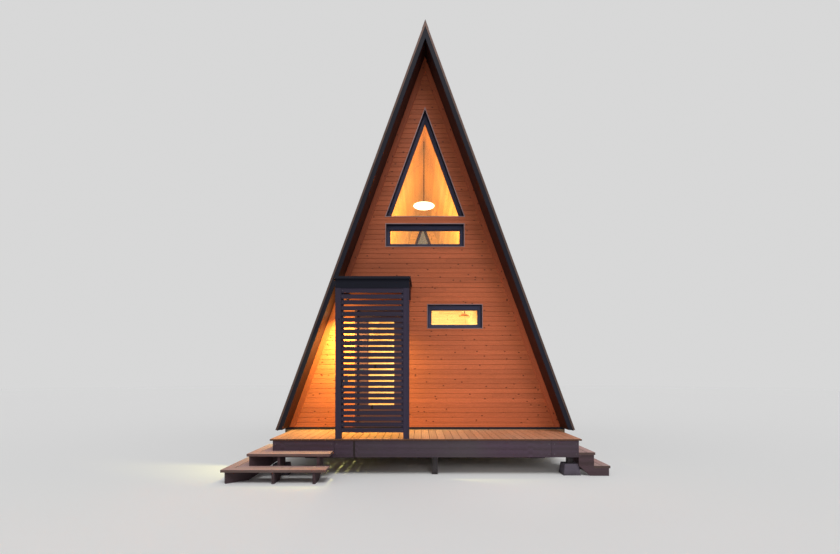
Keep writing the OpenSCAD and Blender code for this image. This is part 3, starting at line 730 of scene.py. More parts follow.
# How each finish is made: its maker, its colour, and what differs from the maker's own values
FINISHES = {
    "concrete": (concrete, "concrete", dict()),
    "weathered_post": (wood, "post", dict(contrast=1.3, rough=0.8, grey=0.6)),
    "framing": (wood, "framing", dict(contrast=1.1, rough=0.75, grey=0.3)),
    "stringer_wood": (wood, "stringer", dict(contrast=1.1, rough=0.75, order=(0, 2, 1), grey=0.3)),
    "floor_wood": (wood, "lining", dict(rough=0.4)),
    # Sides in deck_wood and step_wood is painted shade on the faces that don't look up
    "deck_wood": (wood, "deck", dict(rough=0.62, tones=0.1, grey=0.25, sides=0.45)),
    "fascia_wood": (wood, "fascia", dict(ring=0.011, contrast=0.6, rough=0.7, grey=0.5)),
    "step_wood": (wood, "tread", dict(rough=0.7, grey=0.4, sides=0.3)),
    "wall_wood": (wood, "siding", dict(knots=0.2, contrast=0.9, rough=0.58, tones=0.1)),
    "trim_wood": (wood, "trim", dict(contrast=0.9, rough=0.55)),
    "ceiling_wood": (wood, "lining", dict(rough=0.5)),
    # A darker copy of screen_paint, painted shade under the canopy
    "canopy_paint": (wood, "canopy", dict(contrast=0.5, rough=0.6, knots=0.08, shine=0.1)),
    "screen_paint": (wood, "screen", dict(contrast=0.5, rough=0.6, knots=0.08, tones=0.1, shine=0.2)),
    "roof_panel": (painted, "soffit", dict(rough=0.6)),
    "roofing_metal": (painted, "roofing", dict(rough=0.42, fleck=0.08, wear=0.35)),
    "dark_trim": (painted, "fascia_trim", dict(rough=0.4, fleck=0.04, wear=0.12, shine=0.15)),
    "soffit_paint": (painted, "soffit", dict(rough=0.5, fleck=0.04, shine=0.1)),
    # Painted shade on the window reveals, and the own dark paint of the gaskets and the outlet cover
    "reveal_paint": (painted, "reveal", dict(rough=0.5, fleck=0.04, shine=0.2)),
    "window_paint": (painted, "window", dict(rough=0.36, fleck=0.04, wear=0.1, shine=0.3)),
    "door_paint": (painted, "door", dict(rough=0.4, fleck=0.04, wear=0.1)),
    "amber_shade": (painted, "amber", dict(rough=0.4)),
    "edge_metal": (bare_metal, "edge", dict()),
    "flashing_metal": (bare_metal, "flashing", dict()),
    "hardware": (bare_metal, "hardware", dict(rough=0.3)),
    "glass": (glass, "glass", dict()),
    "bronze_glass": (glass, "rear_glass", dict()),
    "lamp": (opal, "glow", dict(strength=2.8, body=(0.9, 0.86, 0.78))),
    "amber_lamp": (opal, "amber", dict(strength=0.4)),
}


def finish(name):
    """A finish of the list, made when it is first asked for."""
    if name not in MADE:
        maker, paint, differences = FINISHES[name]
        MADE[name] = maker(name, getattr(bpy.context.scene.cabin_colours, paint), **differences)
    return MADE[name]


def dress(material, *nodes, ease=0.0):
    """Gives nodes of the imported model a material, and eases their sharp edges."""
    for name in nodes:
        node = NODES[name]
        if not node.material_slots:
            node.data.materials.append(None)
        for holder in node.material_slots:
            holder.link = "OBJECT"
            holder.material = material
        if ease:
            weld = node.modifiers.new("Weld", "WELD")
            weld.merge_threshold = 1e-5
            round_over = node.modifiers.new("Eased edges", "BEVEL")
            round_over.width = ease
            round_over.segments = 2
            round_over.limit_method = "ANGLE"
            round_over.angle_limit = math.radians(30)
            node.modifiers.new("Face shading", "WEIGHTED_NORMAL")


# Foundation and floors


def timbers(name, slot, node, ease, seed):
    """Rebuilds every box in a node as a sawn timber."""
    solids = Solids(seed)
    for low, high in solid_boxes(node):
        solids.timber(low, high, ease)
    solids.piece(name, slot, replaced=[node])


def frame_foundation(boards):
    dress(finish("concrete"), "pier_blocks", ease=0.006)
    timbers("post_timbers", "weathered_post", "foundation_posts", boards.ease, 11)
    timbers("beam_timbers", "framing", "floor_beams", boards.ease, 12)


def frame_floor(boards):
    """Rim and joists of the cabin's floor."""
    rim = Solids(13)
    x1, x2, x3, x4 = levels("floor_rim", 0)
    y1, y2, y3, y4 = levels("floor_rim", 1)
    z1, z2 = levels("floor_rim", 2)
    sides = ((x1, x4, y1, y2), (x1, x4, y3, y4), (x1, x2, y2, y3), (x3, x4, y2, y3))
    for left, right, near, far in sides:
        rim.timber((left, near, z1), (right, far, z2), boards.ease)
    rim.piece("floor_rim_timbers", "framing", replaced=["floor_rim"])
    timbers("floor_joist_timbers", "framing", "floor_joists", boards.ease, 14)


def lay_main_floor(boards):
    """Boards of the room's floor, and the dark strips that close it under the end walls."""
    low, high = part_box("main_floor")
    edges = Solids(17)
    for near, far in ((low.y, FRONT_BACK), (REAR_BACK, high.y)):
        edges.timber((low.x, near, low.z), (high.x, far, high.z), boards.ease, ends=0.0)
    edges.piece("floor_edges", "dark_trim")
    floor = Solids(15)
    count = round((high.x - low.x) / boards.lining)
    pitch = (high.x - low.x) / count
    for i in range(count):
        x = low.x + i * pitch
        floor.timber((x, FRONT_BACK, low.z), (x + pitch, REAR_BACK, high.z), boards.chamfer / 2, axis=1)
    floor.piece("main_floor_boards", "floor_wood", replaced=["main_floor"])


def lay_loft_floor(boards):
    """Boards of the loft's floor, cut off along the roof's slope at both sides."""
    loft = Solids(16)
    low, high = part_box("loft_floor")
    out = SLOPE.out_of(high.x, low.z)
    width, cut, narrowest = boards.lining, boards.chamfer / 2, 0.02
    count = math.ceil(2 * high.x / width)
    for i in range(count):
        left = high.x - (count - i) * width
        kept = []
        for half in (SLOPE.half(out, low.z), SLOPE.half(out, high.z)):
            kept += [max(-half, min(half, x)) for x in (left, left + width)]
        a1, a2, b1, b2 = kept
        if min(a2 - a1, b2 - b1) < narrowest:
            continue
        outline = [
            (a1, low.z + cut), (a1 + cut, low.z), (a2 - cut, low.z), (a2, low.z + cut),
            (b2, high.z - cut), (b2 - cut, high.z), (b1 + cut, high.z), (b1, high.z - cut),
        ]
        loft.slab(outline, [(low.y, 0), (high.y, 0)], on_front, along=None)
    loft.piece("loft_floor_boards", "floor_wood", replaced=["loft_floor"])


# Deck and steps


def lay_deck(boards):
    """Deck boards, the joists under them and their screws."""
    deck, screws = Solids(21), Solids(22)
    low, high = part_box("deck_boards")
    pitch = (high.x - low.x + boards.deck_gap) / boards.deck_count
    width = pitch - boards.deck_gap
    bearers = [(near.y + far.y) / 2 for near, far in solid_boxes("deck_joists")]
    shares = (0.22, 0.78)
    for i in range(boards.deck_count):
        x = low.x + i * pitch
        # The deck boards' ends take the most dirt and painted shade, which darkens the deck's front edge
        deck.timber((x, low.y, low.z), (x + width, high.y, high.z), boards.ease, axis=1, ends=1.0)
        screws.board_screws([(x + width * share, y) for y in bearers for share in shares], high.z)
    deck.piece("deck_board_timbers", "deck_wood", replaced=["deck_boards"])
    screws.piece("deck_screws", "hardware", smooth=40)
    timbers("deck_joist_timbers", "framing", "deck_joists", boards.ease, 23)


def face_deck(boards):
    """The fascia around the deck, and its screws."""
    timbers("deck_fascia_boards", "fascia_wood", "deck_fascia", boards.ease, 24)
    screws = Solids(25)
    from_edge, front_end, side_end = 0.05, 0.04, 0.1
    for low, high in solid_boxes("deck_fascia"):
        outer = high.x if high.x > 0 else low.x
        for z in (low.z + from_edge, high.z - from_edge):
            if high.x - low.x > high.y - low.y:
                for x in (low.x + front_end, high.x - front_end):
                    screws.screw((x, low.y, z), TO_FRONT, FASCIA_SCREW)
            else:
                for y in (low.y + side_end, high.y - side_end):
                    screws.screw((outer, y, z), (math.copysign(1, outer), 0, 0), FASCIA_SCREW)
    screws.piece("deck_fascia_screws", "hardware", smooth=40)


# Places of two screws across a tread board, as shares of its width, and their distance from its end
TREAD_SCREWS = (0.25, 0.75)
TREAD_END = 0.17


def lay_corner_treads(boards, screws):
    """Two boards to each tread of the corner steps, mitred where the steps turn."""
    treads = Solids(31)
    for low, high in solid_boxes("corner_step_treads"):
        corners = corners_of("corner_step_treads", above=low.z - CLOSE, below=high.z)
        inner_x, inner_y = (sorted({round(corner[axis], 5) for corner in corners})[1] for axis in (0, 1))
        width = (inner_x - low.x - boards.tread_gap) / 2
        layers = eased(low.z, high.z, boards.ease)
        for near in (0, width + boards.tread_gap):
            far = near + width
            mitre = [(inner_x - far, inner_y - far), (inner_x - near, inner_y - near)]
            front = [(high.x, inner_y - near), (high.x, inner_y - far), *mitre]
            treads.slab(front, layers, on_top)
            side = [(inner_x - near, high.y), (inner_x - far, high.y), *mitre]
            treads.slab(side, layers, on_top, along=(0.0, 1.0))
            for share in TREAD_SCREWS:
                x, y = (inner - near - width * share for inner in (inner_x, inner_y))
                places = [(high.x - TREAD_END, y), (inner_x + TREAD_END, y), (x, high.y - TREAD_END)]
                screws.board_screws(places, high.z)
    treads.piece("corner_tread_boards", "step_wood", replaced=["corner_step_treads"])


def lay_side_treads(boards, screws):
    """Two boards to each tread of the side steps."""
    treads = Solids(32)
    fixed_end = 0.02
    for low, high in solid_boxes("side_step_treads"):
        width = (high.x - low.x - boards.tread_gap) / 2
        for x in (low.x, low.x + width + boards.tread_gap):
            treads.timber((x, low.y, low.z), (x + width, high.y, high.z), boards.ease, axis=1)
            ys = (low.y + fixed_end, high.y - TREAD_END)
            screws.board_screws([(x + width * share, y) for y in ys for share in TREAD_SCREWS], high.z)
    treads.piece("side_tread_boards", "step_wood", replaced=["side_step_treads"])


def lay_steps(boards):
    """Treads and notched stringers of the corner steps and the side steps, and their screws."""
    screws = Solids(33)
    lay_corner_treads(boards, screws)
    lay_side_treads(boards, screws)
    screws.piece("tread_screws", "hardware", smooth=40)
    dress(finish("stringer_wood"), "step_stringers", ease=0.002)


# Walls


class Opening:
    """The hole in an end wall that a frame fills. Its sides are upright, or lean in to a peak."""

    def __init__(self, node, peaked=False):
        low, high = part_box(node)
        self.left, self.right = low.x, high.x
        self.low, self.high = low.z, high.z
        self.peaked = peaked

    def edge(self, side, z):
        """X of the left or right edge, side -1 or 1, at a height."""
        place = self.left if side < 0 else self.right
        if not self.peaked:
            return place
        middle = (self.left + self.right) / 2
        return middle + (place - middle) * (self.high - z) / (self.high - self.low)

    def outline(self):
        """Corners in X and Z."""
        foot = [(self.left, self.low), (self.right, self.low)]
        if self.peaked:
            return [*foot, ((self.left + self.right) / 2, self.high)]
        return [*foot, (self.right, self.high), (self.left, self.high)]


def row_edges(low, high, height, marks):
    """Heights of the joints between rows of boards, drawn to the marks that lie close."""
    snap = 0.012
    edges = [low + i * height for i in range(math.ceil((high - low) / height))]
    for i, edge in enumerate(edges):
        close = [z for z in marks if abs(z - edge) < snap]
        if i and close:
            edges[i] = close[0]
    if high - edges[-1] < snap:
        edges.pop()
    return edges + [high]


def board_joints(draw, boards, half):
    """Places along a row, half as long as given, at which one board ends and the next starts."""
    joints = [-half + draw.uniform(boards.shortest, boards.longest)]
    while joints[-1] < half:
        joints.append(joints[-1] + draw.uniform(boards.shortest * 2, boards.longest))
    return joints


def grooved(boards, face, back, set_back=0.0):
    """Layers of a board with a groove around its face, and the dirt and painted shade on each, which
    darken its chamfer and the groove's sides.
    """
    sign = 1 if back > face else -1
    gap = boards.groove / 2
    front = face + sign * set_back
    groove = face + sign * boards.groove_depth
    layers = [
        (front, gap + boards.chamfer), (front + sign * boards.chamfer, gap), (groove, gap), (groove, 0),
        (back, 0),
    ]
    return layers, [0.0, boards.dirt, boards.dirt, boards.dirt, 0.0]


def spans(low, high, openings, out):
    """Stretches of wall between two heights, each a pair of functions of height."""
    middle = (low + high) / 2
    holes = sorted((h for h in openings if h.low < middle < h.high), key=lambda h: h.left)
    edges = [lambda z: -SLOPE.half(out, z)]
    for hole in holes:
        edges.append(lambda z, hole=hole: hole.edge(-1, z))
        edges.append(lambda z, hole=hole: hole.edge(1, z))
    edges.append(lambda z: SLOPE.half(out, z))
    return list(zip(edges[::2], edges[1::2]))


def board_wall(solids, boards, face, back, low, high, openings, out):
    """Lays one skin of an end wall, from its face to its back, grooved on the face."""
    # How far a row may lie behind the next, the least distance from a joint to the end of a row,
    # the share of the groove that a joint has, and the shortest top edge that a board may have
    uneven, clear, joint, shortest = 0.0008, 0.3, 0.3, 0.002
    marks = [z for hole in openings for z in (hole.low, hole.high)]
    rows = row_edges(low, high, boards.siding, marks)
    for row, (z1, z2) in enumerate(zip(rows, rows[1:])):
        draw = random.Random(f"{solids.seed} row {row}")
        layers, dirt = grooved(boards, face, back, set_back=draw.uniform(0, uneven))
        joints = board_joints(draw, boards, SLOPE.half(out, z1))
        cuts = sorted({z1, z2, *(z for z in marks if z1 < z < z2)})
        for a, b in zip(cuts, cuts[1:]):
            for left, right in spans(a, b, openings, out):
                first, last = max(left(a), left(b)) + clear, min(right(a), right(b)) - clear
                inner = [x for x in joints if first < x < last]
                ends = [left, *(lambda z, x=x: x for x in inner), right]
                for part, (start, end) in enumerate(zip(ends, ends[1:])):
                    outline = [(start(a), a), (end(a), a), (end(b), b), (start(b), b)]
                    soft = [
                        float(a == z1 and row > 0), joint * (part < len(inner)),
                        float(b == z2 and b < high), joint * (part > 0),
                    ]
                    if end(b) - start(b) < shortest:
                        del outline[3], soft[2]
                    centre = (start(a) + end(a)) / 2
                    board = sum(x < centre for x in joints)
                    solids.slab(outline, layers, on_front, soft=soft, key=(row, board), dirt=dirt)


WINDOWS = ("gable_window_frame", "loft_window_frame", "side_window_frame")


def window_openings():
    return [Opening(name, peaked=name.startswith("gable")) for name in WINDOWS]


def clad_walls(boards):
    """Stained boards outside and pale lining inside, on the front and rear walls."""
    low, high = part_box("rear_wall")
    out = SLOPE.out_of(high.x, low.z)
    windows = window_openings()
    front = ["front_wall_left", "front_wall_right", "front_wall_over_door", "front_wall_upper"]
    walls = (
        ("front_wall", FRONT_FACE, FRONT_BACK, [*windows, Opening("door_frame")], front),
        ("rear_wall", REAR_FACE, REAR_BACK, windows, ["rear_wall"]),
    )
    for seed, (name, face, back, holes, replaced) in enumerate(walls):
        middle = (face + back) / 2
        outside, inside = Solids(41 + seed), Solids(43 + seed)
        board_wall(outside, boards, face, middle, low.z, high.z, holes, out)
        outside.piece(name + "_boards", "wall_wood", replaced=replaced)
        board_wall(inside, boards, back, middle, low.z, high.z, holes, out)
        inside.piece(name + "_lining", "ceiling_wood")


# Roof


def line_ceiling(boards):
    """Ceiling boards along both slopes, with a groove between two."""
    for side, name in ((-1, "left"), (1, "right")):
        node = "ceiling_" + name
        low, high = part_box(node)
        inner, outer = sorted(SLOPE.out_of(abs(x), SLOPE.foot) for x in foot_of(node))
        length = SLOPE.length(inner, SLOPE.foot)
        count = round(length / boards.lining)
        pitch = length / count
        layers, dirt = grooved(boards, 0, outer - inner)
        lining = Solids(50 + side)
        for i in range(count):
            foot, head = i * pitch, (i + 1) * pitch
            outline = [(low.y, foot), (high.y, foot), (high.y, head), (low.y, head)]
            soft = [float(i > 0), 0.0, float(i < count - 1), 0.0]
            lining.slab(outline, layers, SLOPE.place(side, inner), soft=soft, dirt=dirt)
        lining.piece(f"ceiling_boards_{name}", "ceiling_wood", replaced=[node])


def dress_roof():
    """Panels, ribbed sheets, ridge cap and the screws that hold the sheets."""
    dress(finish("roof_panel"), "roof_panel_left", "roof_panel_right")
    dress(finish("roofing_metal"), "roofing_left", "roofing_right", "ridge_cap", "canopy_roof")
    washer = [(0.009, 0), (0.009, 0.0015), (0.006, 0.002)]
    head = [(0.0052, 0.002), (0.0052, 0.0065), (0.004, 0.007)]
    beside_rib, first_row, row_pitch, below_peak = 0.04, 0.12, 0.6, 0.4
    screws = Solids(61)
    ys = levels("roofing_right", 1)
    # Each rib has four edges along the slope
    ribs = [(first + last) / 2 for first, last in zip(ys[1:-1:4], ys[4::4])]
    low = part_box("roofing_right")[0]
    inner = SLOPE.out_of(foot_of("roofing_right")[0], low.z)
    count = int((SLOPE.length(inner, low.z) - below_peak) / row_pitch) + 1
    start = (low.z - SLOPE.foot) / math.cos(SLOPE.angle)
    for side in (-1, 1):
        place = SLOPE.place(side, inner)
        normal = (side * math.cos(SLOPE.angle), 0, math.sin(SLOPE.angle))
        for y in ribs:
            for i in range(count):
                point = place(y + beside_rib, start + (first_row + i * row_pitch), SHEET)
                screws.turned(washer, point, normal, steps=10)
                screws.turned(head, point, normal, steps=6)
    screws.piece("roofing_screws", "hardware", smooth=30)


def trim_roof(boards):
    """Edge boards, metal edges, soffits and the trim boards along the walls."""
    dress(finish("dark_trim"), "rake_fascias", ease=0.0015)
    dress(finish("soffit_paint"), "soffits")
    dress(finish("edge_metal"), "drip_edges", ease=0.0008)
    trims = Solids(62)
    low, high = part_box("rake_trims")
    foot = [corner.x for corner in corners_of("rake_trims", below=low.z + CLOSE) if corner.x > 0]
    inner = SLOPE.out_of(min(foot), low.z)
    sine, cosine = math.sin(SLOPE.angle), math.cos(SLOPE.angle)
    for face, back in ((low.y, FRONT_FACE), (REAR_FACE, high.y)):
        layers = eased(face, back, boards.ease)
        for side in (-1, 1):
            outline = [
                (side * SLOPE.half(inner, low.z), low.z), (side * SLOPE.half(0, low.z), low.z),
                (0, SLOPE.peak(0)), (0, SLOPE.peak(inner)),
            ]
            trims.slab(outline, layers, on_front, along=(-side * sine, cosine), soft=[1, 1, 0.3, 1])
    trims.piece("rake_trim_boards", "trim_wood", replaced=["rake_trims"])


# Windows and door


def spread_of(hole, sizes):
    """A function from a distance at the upright sides of a frame to one for each of its sides."""

    def triangle(inward):
        flash = sizes.flashing
        rest = (sizes.foot - flash) / (sizes.casing + sizes.sash - flash)
        return [min(inward, flash) + max(0.0, inward - flash) * rest, inward, inward]

    def level(inward):
        return [inward, inward, inward + (sizes.head if inward > sizes.reveal else 0.0), inward]

    return triangle if hole.peaked else level


def frame_window(solids, hole, face, sign, wall, sizes):
    """One window: metal edge, reveal painted dark as painted shade, casing, sash, and the gaskets on the
    glass. Sign is the way inwards from the wall's face, along Y, and solids take what is painted, the
    reveal with its painted shade, metal and rubber."""
    paint, painted_shade_reveals, metal, rubber = solids
    outline, spread = hole.outline(), spread_of(hole, sizes)
    flash, reveal, casing, lip = sizes.flashing, sizes.reveal, sizes.casing, sizes.lip
    glass = casing + sizes.sash
    back, sash_front = sizes.casing_back, sizes.sash_back
    sash_rear = sash_front + sizes.sash_depth
    middle = (sash_front + sash_rear) / 2
    seat = 2 * flash
    out = FRONT_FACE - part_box(WINDOWS[0])[0].y

    def ring(piece, *section):
        placed = [(inward, face + sign * depth) for inward, depth in section]
        piece.moulding(outline, placed, on_front, spread)

    ring(
        metal, (0.0, -out), (flash - lip / 2, -out), (flash, lip / 2 - out), (flash, seat), (0.0, seat)
    )
    # The reveal, painted dark as painted shade
    ring(
        painted_shade_reveals, (flash, lip - out), (reveal - lip / 2, lip - out), (reveal, 1.5 * lip - out),
        (reveal, back), (0.0, back), (0.0, seat), (flash, seat),
    )
    ring(
        paint, (0.0, back), (casing - lip, back), (casing, back + lip), (casing, wall - lip),
        (casing - lip, wall), (0.0, wall),
    )
    ring(
        paint, (casing, sash_front), (glass - 2 * lip, sash_front), (glass, sash_front + 3 * lip),
        (glass, sash_rear - 3 * lip), (glass - 2 * lip, sash_rear), (casing, sash_rear),
    )
    # Each gasket's faces, from the middle of the glass, and its edges, from the sash's edge
    near, far, under, over = 0.006, 0.0085, 0.001, 0.004
    for start, end in ((-far, -near), (near, far)):
        ring(
            rubber, (glass - under, middle + start), (glass + over, middle + start),
            (glass + over, middle + end), (glass - under, middle + end),
        )


def fit_windows(sizes):
    """Frames, metal edges and gaskets of the front and rear windows, and their glass."""
    wall = FRONT_BACK - FRONT_FACE
    metal, painted_shade_reveals, rubber, rear = Solids(71), Solids(74), Solids(72), Solids(73)
    for name, hole in zip(WINDOWS, window_openings()):
        front = Solids(name)
        frame_window((front, painted_shade_reveals, metal, rubber), hole, FRONT_FACE, 1, wall, sizes)
        front.piece(name.replace("frame", "casing"), "window_paint", replaced=[name])
        frame_window((rear, painted_shade_reveals, metal, rubber), hole, REAR_FACE, -1, wall, sizes)
    rear.piece("rear_window_casings", "window_paint", replaced=["rear_window_frames"])
    # The reveals' dark paint is painted shade
    painted_shade_reveals.piece("window_reveals", "dark_trim", look="reveal_paint")
    metal.piece("window_flashing", "edge_metal", look="flashing_metal")
    rubber.piece("window_gaskets", "dark_trim", look="reveal_paint")
    dress(finish("glass"), "front_window_glass", "door_glass")
    dress(finish("bronze_glass"), "rear_window_glass")


def fit_door():
    """Finish of the door and its frame, with glazing beads around the glass on both faces."""
    dress(finish("door_paint"), "door_frame", ease=0.0012)
    dress(finish("door_paint"), "door_leaf", ease=0.0015)
    dress(finish("edge_metal"), "door_sill", ease=0.001)
    dress(finish("hardware"), "door_hinges", "door_handle", ease=0.0008)
    low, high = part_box("door_glass")
    leaf_low, leaf_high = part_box("door_leaf")
    outline = [(low.x, low.z), (high.x, low.z), (high.x, high.z), (low.x, high.z)]
    wide, sunk = 0.014, 0.003
    beads = Solids(75)
    for glass_y, face in ((low.y, leaf_low.y + sunk), (high.y, leaf_high.y - sunk)):
        slope = (wide * 0.8, face + (glass_y - face) / 3)
        section = [(0.0, face), (wide * 0.45, face), slope, (wide, glass_y), (0.0, glass_y)]
        beads.moulding(outline, section, on_front)
    beads.piece("door_glazing_beads", "door_paint", body=DOOR)


# Entry, lights and small fittings


def edge_canopy():
    """The folded metal edge along the front and the sides of the canopy's sheet."""
    low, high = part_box("canopy_roof")
    front, _, rib_top, back = levels("canopy_roof", 2)[:4]
    # The edge's own thickness, how far it lies out from the sheet, hangs down at the sides and
    # stands up at the front, and its width on top of the sheet
    thick, out, drop, up, over = 0.003, 0.01, 0.02, 0.034, 0.045
    edges = Solids(85)
    outline = rounded(low.x - out, front - thick, high.x + out, front + up, thick / 3)
    edges.slab(outline, eased(low.y - thick, low.y, thick / 3), on_front)

    def strip(x1, x2, below, above):
        ends = ((low.y, front), (high.y, back))
        outline = [(y, z + below) for y, z in ends] + [(y, z + above) for y, z in reversed(ends)]
        edges.slab(outline, eased(min(x1, x2), max(x1, x2), thick / 4), on_side)

    for side, edge, height in ((-1, low.x, SHEET), (1, high.x, rib_top - front)):
        outer = edge + side * out
        inner = outer - side * thick
        strip(outer, inner, -drop, height + thick)
        strip(inner, edge - side * over, height, height + thick)
    edges.piece("canopy_edging", "dark_trim")


def frame_canopy(boards):
    """Posts, header, rafters and ledger that carry the canopy's sheet."""
    timbers("canopy_post_timbers", "screen_paint", "canopy_posts", boards.ease, 81)
    x1, x2, x3, x4 = levels("canopy_frame", 0)
    y1, y2, y3, y4 = levels("canopy_frame", 1)
    low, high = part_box("canopy_frame")
    front_top = max(corner.z for corner in corners_of("canopy_frame") if corner.y < low.y + CLOSE)
    rise = (high.z - front_top) / (high.y - low.y)

    def outline(start, end):
        """A part between two places along Y, cut off at its top along the sheet's slope."""
        tops = [(y, front_top + (y - low.y) * rise) for y in (end, start)]
        return [(start, low.z), (end, low.z), *tops]

    timber, ledger = Solids(82), Solids(86)
    for left, right in ((x1, x2), (x3, x4)):
        timber.slab(outline(y2, y3), eased(left, right, boards.ease), on_side)
    across = eased(x1, x4, boards.ease)
    timber.slab(outline(y1, y2), across, on_side, along=None)
    ledger.slab(outline(y3, y4), across, on_side, along=None)
    ledger.piece("canopy_ledger", "trim_wood")
    # The canopy's frame takes the darker copy of the screen's stain, as painted shade
    timber.piece("canopy_frame_timbers", "screen_paint", replaced=["canopy_frame"], look="canopy_paint")


def build_screen(boards):
    """Slats and uprights of the entry screen, and its screws."""
    screen, screws = Solids(83), Solids(84)
    x1, x2, x3, x4 = levels("entry_screen", 0)
    y1, y2, y3 = levels("entry_screen", 1)
    # The top slat ends under the canopy's header
    heights = levels("entry_screen", 2)[:-1] + [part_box("canopy_frame")[0].z]
    for z1, z2 in zip(heights[::2], heights[1::2]):
        screen.timber((x1, y1, z1), (x4, y2, z2), boards.ease / 2, axis=0)
        for x in ((x1 + x2) / 2, (x3 + x4) / 2):
            screws.screw((x, y1, (z1 + z2) / 2), TO_FRONT, SMALL_SCREW)
    for left, right in ((x1, x2), (x3, x4)):
        screen.timber((left, y2, heights[0]), (right, y3, heights[-1]), boards.ease / 2, axis=2)
    screen.piece("entry_screen_slats", "screen_paint", replaced=["entry_screen"])
    screws.piece("entry_screen_screws", "hardware", smooth=40)


def bulge(radius, rise, steps, first=0, base=0.0):
    """Profile of a round lens: points on an oval, from its widest place, which is step 0, or from
    an earlier step, to its tip."""
    tip = 0.0005
    profile = []
    for i in range(first, steps + 1):
        angle = math.pi / 2 * i / steps
        profile.append((max(tip, radius * math.cos(angle)), base + rise * math.sin(angle)))
    return profile


def fit_wall_light():
    """The round light by the door: a base with a rim, and a domed lens."""
    low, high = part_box("wall_light")
    radius, depth = (high.x - low.x) / 2, high.y - low.y
    centre = ((low.x + high.x) / 2, high.y, (low.z + high.z) / 2)
    # Radial sizes of the base, then its heights
    rim, bevel, hub, gap = 0.008, 0.003, 0.002, 0.001
    plate, shoulder, rise = 0.012, 0.018, 0.022
    base = Solids(91)
    profile = [
        (radius, 0), (radius, shoulder), (radius - bevel, rise), (radius - rim, rise),
        (radius - rim, plate), (hub, plate),
    ]
    base.turned(profile, centre, TO_FRONT, steps=40)
    base.piece("wall_light_base", "dark_trim", smooth=35)
    lens = Solids(92)
    edge, straight = radius - rim - gap, depth * 0.55
    dome = [(edge, plate + gap), *bulge(edge, depth - straight, 6, base=straight)]
    lens.turned(dome, centre, TO_FRONT, steps=40)
    lens.piece("wall_light_lens", "lamp", replaced=["wall_light"], smooth=60)


# Radius of the stems that the lamps hang on
STEM = 0.008


def turn_dish(low, high, shade, metal, diffuser):
    """The room's lamp: a dish that is open below, its stem, and the shallow diffuser in it."""
    wall, bore, collar, sag = 0.003, 0.004, 0.004, 0.008
    centre = ((low.x + high.x) / 2, (low.y + high.y) / 2, low.z)
    radius = (high.x - low.x) / 2
    top = radius / 2
    outer = [
        (radius, 0.0), (radius, wall), (radius * 0.72, top * 0.55), (radius * 0.4, top * 0.86),
        (2 * STEM, top), (STEM, top + collar),
    ]
    hollow = [(r, height - wall) for r, height in reversed(outer[2:5])]
    inner = [(bore, top - wall), *hollow, (radius - wall, wall), (radius - wall, 0.0)]
    shade.turned(inner + outer, centre, UP, steps=48)
    metal.turned([(STEM, top), (STEM, high.z - low.z)], centre, UP, steps=16)
    edge = radius - 2 * wall
    diffuser.turned([(edge, wall), *bulge(edge, -sag, 8)], centre, UP, steps=48)


def turn_ridge_lamp(low, high, lens, metal):
    """The flat round lamp under the ridge, with its collar and stem."""
    half, collar, nearest_stem = 0.04, 0.05, 0.5
    radius = (high.x - low.x) / 2
    top = max(z for z in levels("pendant_lamps", 2) if z < low.z + nearest_stem)
    centre = ((low.x + high.x) / 2, (low.y + high.y) / 2, (low.z + top) / 2)
    metal.turned([
        (collar, half * 0.93), (collar, half * 1.4), (STEM, half * 1.7), (STEM, high.z - centre[2]),
    ], centre, UP, steps=24)
    lens.turned(bulge(radius, half, 8, first=-8), centre, UP, steps=48)


def hang_lamps():
    """The two lamps that hang inside, which share their metalwork."""
    dish, ridge = sorted(solid_boxes("pendant_lamps"), key=lambda box: box[0].z)
    metal, shade, diffuser, lens = Solids(93), Solids(94), Solids(96), Solids(97)
    turn_dish(*dish, shade, metal, diffuser)
    turn_ridge_lamp(*ridge, lens, metal)
    metal.piece("pendant_metalwork", "dark_trim", smooth=35)
    shade.piece("pendant_shade", "hardware", smooth=35, look="amber_shade")
    diffuser.piece("pendant_diffuser", "lamp", smooth=60, look="amber_lamp")
    lens.piece("ridge_lamp_lens", "lamp", replaced=["pendant_lamps"], smooth=60)


def fix_outlet():
    """The small cover plate on the wall left of the door."""
    x, z = -1.377, 1.44
    wide, tall, thick, corner, bevel, screw_up = 0.070, 0.120, 0.006, 0.008, 0.003, 0.048
    face = FRONT_FACE - thick
    plate = Solids(95)
    outline = rounded(x - wide / 2, z - tall / 2, x + wide / 2, z + tall / 2, corner)
    plate.slab(outline, [(FRONT_FACE, 0), (FRONT_FACE - thick * 0.6, 0), (face, bevel)], on_front)
    for up in (-screw_up, screw_up):
        plate.screw((x, face, z + up), TO_FRONT, SMALL_SCREW)
    plate.piece("outlet_cover", "hardware", smooth=35, look="reveal_paint")


# Stage


def soft_light(name, place, size, power, tint, target=None, spread=180):
    """A disk that shines towards a target, or a ball that shines all round where there is none.
    Spread is the disk's widest angle, in degrees."""
    lamp = bpy.data.lights.new(name, "AREA" if target else "POINT")
    lamp.energy = power
    lamp.color = tint
    holder = bpy.data.objects.new(name, lamp)
    holder.location = place
    if target:
        lamp.shape = "DISK"
        lamp.size = size
        lamp.spread = math.radians(spread)
        holder.rotation_euler = (Vector(target) - Vector(place)).to_track_quat("-Z", "Y").to_euler()
    else:
        lamp.shadow_soft_size = size / 2
    bpy.context.scene.collection.objects.link(holder)
    for ray in ("visible_camera", "visible_glossy", "visible_transmission"):
        setattr(holder, ray, False)


